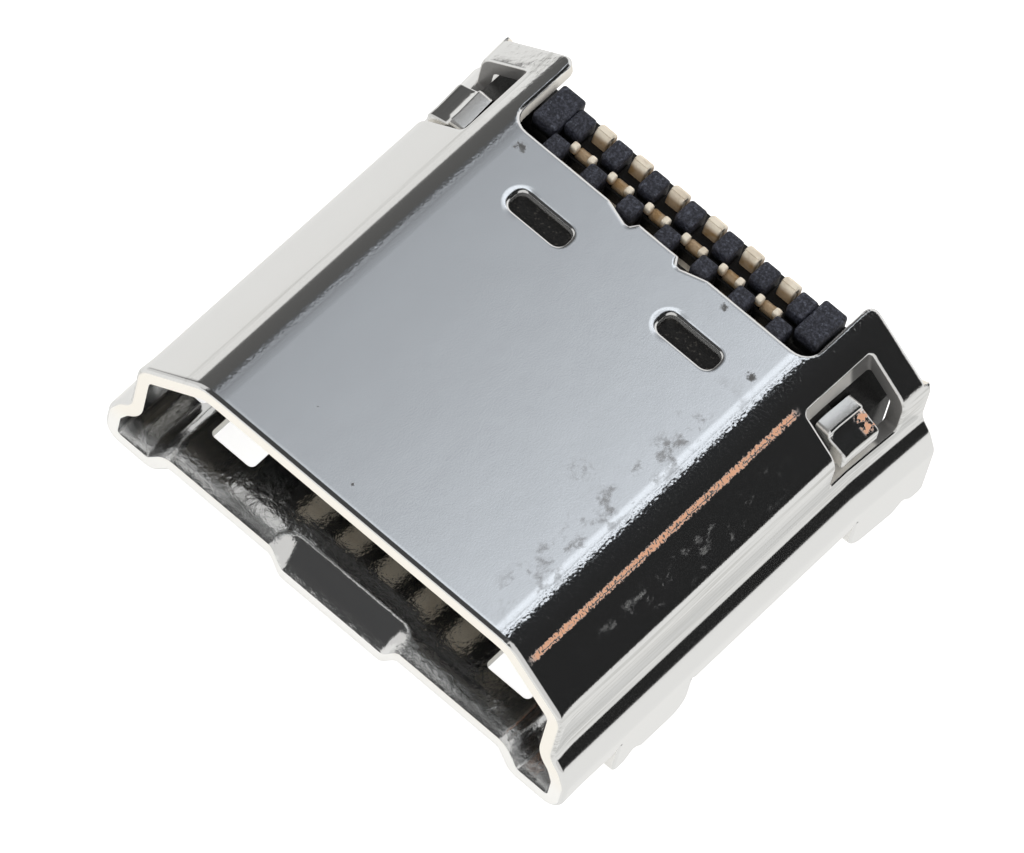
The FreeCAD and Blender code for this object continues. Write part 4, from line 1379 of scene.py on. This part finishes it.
@dataclass
class RearComb:
    """Comb at the back: its lower part from the CAD node, its ribs and end blocks on top."""

    node: str = "rear_comb"
    pitch: float = 0.65
    pockets: int = 6
    shelf_drop: float = 0.27
    sink: float = 0.12
    rib_width: float = 0.29
    front_rib: float = 0.30
    rear_rib_start: float = 0.46
    rear_rib: float = 0.37
    block_edge: float = 2.50
    block_width: float = 0.40
    block_start: float = 0.28
    pocket_wall: float = 0.05
    pocket_width: float = 0.36
    pocket_length: float = 0.31
    pocket_depth: float = 0.95
    pocket_rise: float = 0.03
    edge_round: float = 0.05
    pocket_round: float = 0.02

    def build(self, material: bpy.types.Material) -> bpy.types.Object:
        """Shelf, ribs, end blocks and pocket walls in one piece."""
        low, high = box_mm(self.node)
        top, front, back = high[2], low[1], high[1]
        shelf = top - self.shelf_drop
        sink, half = shelf - self.sink, self.rib_width / 2
        middles = (np.arange(self.pockets + 1) - self.pockets / 2) * self.pitch
        start = front + self.rear_rib_start
        blocks = [((x - half, near, sink), (x + half, near + long, top))
                  for near, long in ((front, self.front_rib), (start, self.rear_rib)) for x in middles]
        for side in (-1, 1):
            ends = sorted((side * self.block_edge, side * (self.block_edge - self.block_width)))
            blocks.append(((ends[0], front + self.block_start, sink), (ends[1], back, top)))
        rounds = [self.edge_round] * len(blocks) + [self.pocket_round] * self.pockets
        reach, wide = front + self.pocket_length, self.pocket_width / 2
        blocks += [((x - wide, reach - self.pocket_wall, top - self.pocket_depth),
                    (x + wide, reach, shelf + self.pocket_rise)) for x in middles[:-1] + self.pitch / 2]
        work = self._lower_part(shelf)
        for (first, second), radius in zip(blocks, rounds):
            points, faces = rounded_block(first, second, radius)
            verts = [work.verts.new(point) for point in points.tolist()]
            for face in faces:
                work.faces.new([verts[i] for i in face])
        return finish_moulding(work, self.node, material)

    def _lower_part(self, shelf: float) -> bmesh.types.BMesh:
        """The CAD comb up to the shelf, closed there, in millimetres."""
        work = merged_copy(self.node)
        geometry = work.verts[:] + work.edges[:] + work.faces[:]
        cut = bmesh.ops.bisect_plane(work, geom=geometry, plane_co=(0, 0, shelf),
                                     plane_no=(0, 0, 1), clear_outer=True)
        rim = [edge for edge in cut["geom_cut"] if isinstance(edge, bmesh.types.BMEdge)]
        bmesh.ops.triangle_fill(work, use_beauty=True, edges=rim, normal=(0, 0, 1))
        bmesh.ops.recalc_face_normals(work, faces=work.faces[:])
        return work


def merged_copy(node: str) -> bmesh.types.BMesh:
    """A CAD node's mesh in millimetres, its triangles joined and its flat faces made whole."""
    work = bmesh.new()
    work.from_mesh(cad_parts[node].data)
    bmesh.ops.scale(work, vec=Vector((1, 1, 1)) / MM, verts=work.verts)
    bmesh.ops.remove_doubles(work, verts=work.verts, dist=NEAR)
    bmesh.ops.dissolve_limit(work, angle_limit=math.radians(1), verts=work.verts,
                             edges=work.edges)
    return work


def round_edges(work: bmesh.types.BMesh, radius: float, angle: float) -> None:
    """Bevel every edge that turns by more than an angle in degrees."""
    sharp = [edge for edge in work.edges
             if len(edge.link_faces) == 2 and edge.calc_face_angle(0.0) > math.radians(angle)]
    bmesh.ops.bevel(work, geom=sharp, offset=radius, offset_type="OFFSET", segments=2,
                    profile=0.5, affect="EDGES", clamp_overlap=True)


def finish_moulding(work: bmesh.types.BMesh, node: str, material: bpy.types.Material,
                    sharp: float = 50.0) -> bpy.types.Object:
    """Object from a mesh in millimetres that stands for a CAD moulding."""
    bmesh.ops.remove_doubles(work, verts=work.verts, dist=TOUCH)
    bmesh.ops.triangulate(work, faces=work.faces)
    bmesh.ops.scale(work, vec=Vector((1, 1, 1)) * MM, verts=work.verts)
    mesh = bpy.data.meshes.new("rounded_" + node)
    work.to_mesh(mesh)
    work.free()
    piece = finished(mesh, material, sharp)
    weighted = piece.modifiers.new("weighted", "WEIGHTED_NORMAL")
    weighted.keep_sharp = True
    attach(piece, "root")
    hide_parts(node)
    return piece


@dataclass
class UpperContact:
    """Contact of the upper row: a rounded strip along its path, with two lugs at its shoulder."""

    number: int
    pitch: float = 0.65
    count: int = 6
    tongue_top: float = 2.54
    thickness: float = 0.12
    width: float = 0.25
    tail_width: float = 0.18
    bend: float = 0.12
    corner: float = 0.03
    lug_width: float = 0.11
    lug_length: float = 0.12
    lug_height: float = 0.16
    lug_spacing: float = 0.30
    lug_rise: float = 0.05
    shoulder_drop: float = 0.08
    dip: float = 0.26
    dip_start: float = 0.42
    pad_start: float = 0.76
    pad_rise: float = 0.07
    flank: float = 0.06
    clearance: float = 0.03
    rise_place: float = 0.32
    shoulder_place: float = 0.34
    tight_bend: float = 0.035
    pad_bends: Pair = (0.07, 0.11)
    bend_steps: int = 8
    corner_steps: int = 3
    spacing: float = 0.25
    foot_height: float = 0.45
    narrowing: float = 0.12
    tail_reach: float = 0.2
    sharp_angle: float = 60.0

    def build(self, material: bpy.types.Material) -> bpy.types.Object:
        """Strip and lugs in one piece that stands for the CAD contact."""
        node = f"upper_contact_{self.number}"
        low, high = box_mm(node)
        self.middle = (self.number - 1 - (self.count - 1) / 2) * self.pitch
        comb_low, comb_high = box_mm("rear_comb")
        parts = [self._strip(low, high, comb_low[1], comb_high[1])]
        parts += [self._lug(side, comb_low[1], high[2]) for side in (-1, 1)]
        points = np.concatenate([part[0] for part in parts])
        starts = np.cumsum([0] + [len(part[0]) for part in parts[:-1]])
        faces = [tuple(int(i) + start for i in face)
                 for part, start in zip(parts, starts) for face in part[1]]
        mesh = bpy.data.meshes.new(f"contact_{self.number}")
        mesh.from_pydata((points * MM).tolist(), [], faces)
        piece = finished(mesh, material, self.sharp_angle)
        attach(piece, "root")
        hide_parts(node)
        return piece

    def _strip(self, low: np.ndarray, high: np.ndarray, comb_front: float, comb_back: float) -> Patch:
        """Rounded rectangle carried along the path of the contact.

        Point = path(t) + a w(t) X + b N(t), where (a, b) runs round the section and N is
        the path's normal in the YZ plane.

        Args:
            low: Lowest corner of the CAD contact.
            high: Its highest corner.
            comb_front: Y of the comb's front.
            comb_back: Y of its back.

        Returns:
            Points and faces.
        """
        half, tight = self.thickness / 2, self.tight_bend
        front, back = low[1], high[1]
        rise, drop = comb_front + self.rise_place + half, comb_back - self.clearance - half
        level = self.tongue_top - half
        top, foot = high[2] - self.clearance - half, low[2] + half
        dip, pad = comb_front + self.dip_start, comb_front + self.pad_start
        shoulder, hollow, crest = top - self.shoulder_drop, top - self.dip, top + self.pad_rise
        path = np.array([(front, level), (rise, level), (rise, shoulder), (dip, shoulder),
                         (dip + self.flank, hollow), (pad - self.flank, hollow), (pad, crest),
                         (drop, crest), (drop, foot), (back, foot)])
        radii = np.array([0, self.bend, *[tight] * 4, *self.pad_bends, self.bend, 0])
        line = evenly(rounded_line(path, radii, self.bend_steps), self.spacing, False)
        run = np.gradient(line, axis=0)
        run /= np.linalg.norm(run, axis=1, keepdims=True)
        normal = np.stack([-run[:, 1], run[:, 0]], axis=1)
        narrow = smooth((foot + self.foot_height - line[:, 1]) / self.narrowing)
        narrow *= line[:, 0] > drop - self.tail_reach
        wide = self.width + (self.tail_width - self.width) * narrow
        box = np.array([(-1, -1), (1, -1), (1, 1), (-1, 1)], float)
        section = rounded_line(box * (self.width / 2, half), np.full(4, self.corner),
                               self.corner_steps, True)
        count = len(section)
        x = self.middle + section[None, :, 0] * (wide / self.width)[:, None]
        y = line[:, None, 0] + normal[:, None, 0] * section[None, :, 1]
        z = line[:, None, 1] + normal[:, None, 1] * section[None, :, 1]
        points = np.stack([x, y, z], axis=2).reshape(-1, 3)
        ring = np.arange(len(line) * count).reshape(len(line), count)
        sides = grid_faces(np.concatenate([ring, ring[:, :1]], axis=1).T)
        ends = [tuple(ring[0].tolist()), tuple(ring[-1][::-1].tolist())]
        return points, as_faces(sides[:, ::-1]) + ends

    def _lug(self, side: int, comb_front: float, top: float) -> Patch:
        """Small rounded block: a superellipsoid |x/a|^p + |y/b|^p + |z/c|^p = 1 with p = 6."""
        power, rings, turns = 6, 13, 24
        u, v = np.meshgrid(np.linspace(-np.pi, np.pi, turns + 1)[:-1],
                           np.linspace(-np.pi / 2, np.pi / 2, rings), indexing="ij")
        direction = np.stack([np.cos(v) * np.cos(u), np.cos(v) * np.sin(u), np.sin(v)], axis=2)
        scale = (np.abs(direction) ** power).sum(axis=2, keepdims=True) ** (-1 / power)
        half = np.array([self.lug_width, self.lug_length, self.lug_height]) / 2
        lug_top = top - self.clearance + self.lug_rise
        centre = np.array([self.middle + side * self.lug_spacing / 2, comb_front + self.shoulder_place,
                           lug_top - self.lug_height / 2])
        points = (direction * scale * half + centre).reshape(-1, 3)
        ring = np.arange(turns * rings).reshape(turns, rings)
        return points, as_faces(grid_faces(np.concatenate([ring, ring[:1]])))


def dress(node: str, material: bpy.types.Material) -> None:
    """Give a CAD node one finish."""
    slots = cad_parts[node].data.materials
    slots.clear()
    slots.append(material)
    LOG.info("%s: %d faces", node, len(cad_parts[node].data.polygons))


def main() -> None:
    """Build the port and the studio around it."""
    logging.basicConfig(level=logging.INFO, format="%(name)s: %(message)s")
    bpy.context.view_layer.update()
    steel = SteelFinish().material()
    body = MouldingFinish("body_moulding", colour=(0.005, 0.005, 0.005),
                          worn=(0.014, 0.013, 0.012), speck=(0.22, 0.20, 0.17),
                          speck_share=0.18, roughness=0.42)
    comb = MouldingFinish("comb_moulding", colour=(0.014, 0.015, 0.021),
                          worn=(0.075, 0.080, 0.108), speck=(0.12, 0.13, 0.165),
                          shade_under=2.82)
    gold = GoldFinish().material()
    FoldedShell().build(steel)
    MouldedPiece("contact_housing").build(body.material())
    RearComb().build(comb.material())
    for number in range(1, UpperContact.count + 1):
        UpperContact(number).build(gold)
    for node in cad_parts:
        if node.startswith("lower_contact"):
            dress(node, gold)
    Studio().build()


if __name__ == "__main__":
    main()
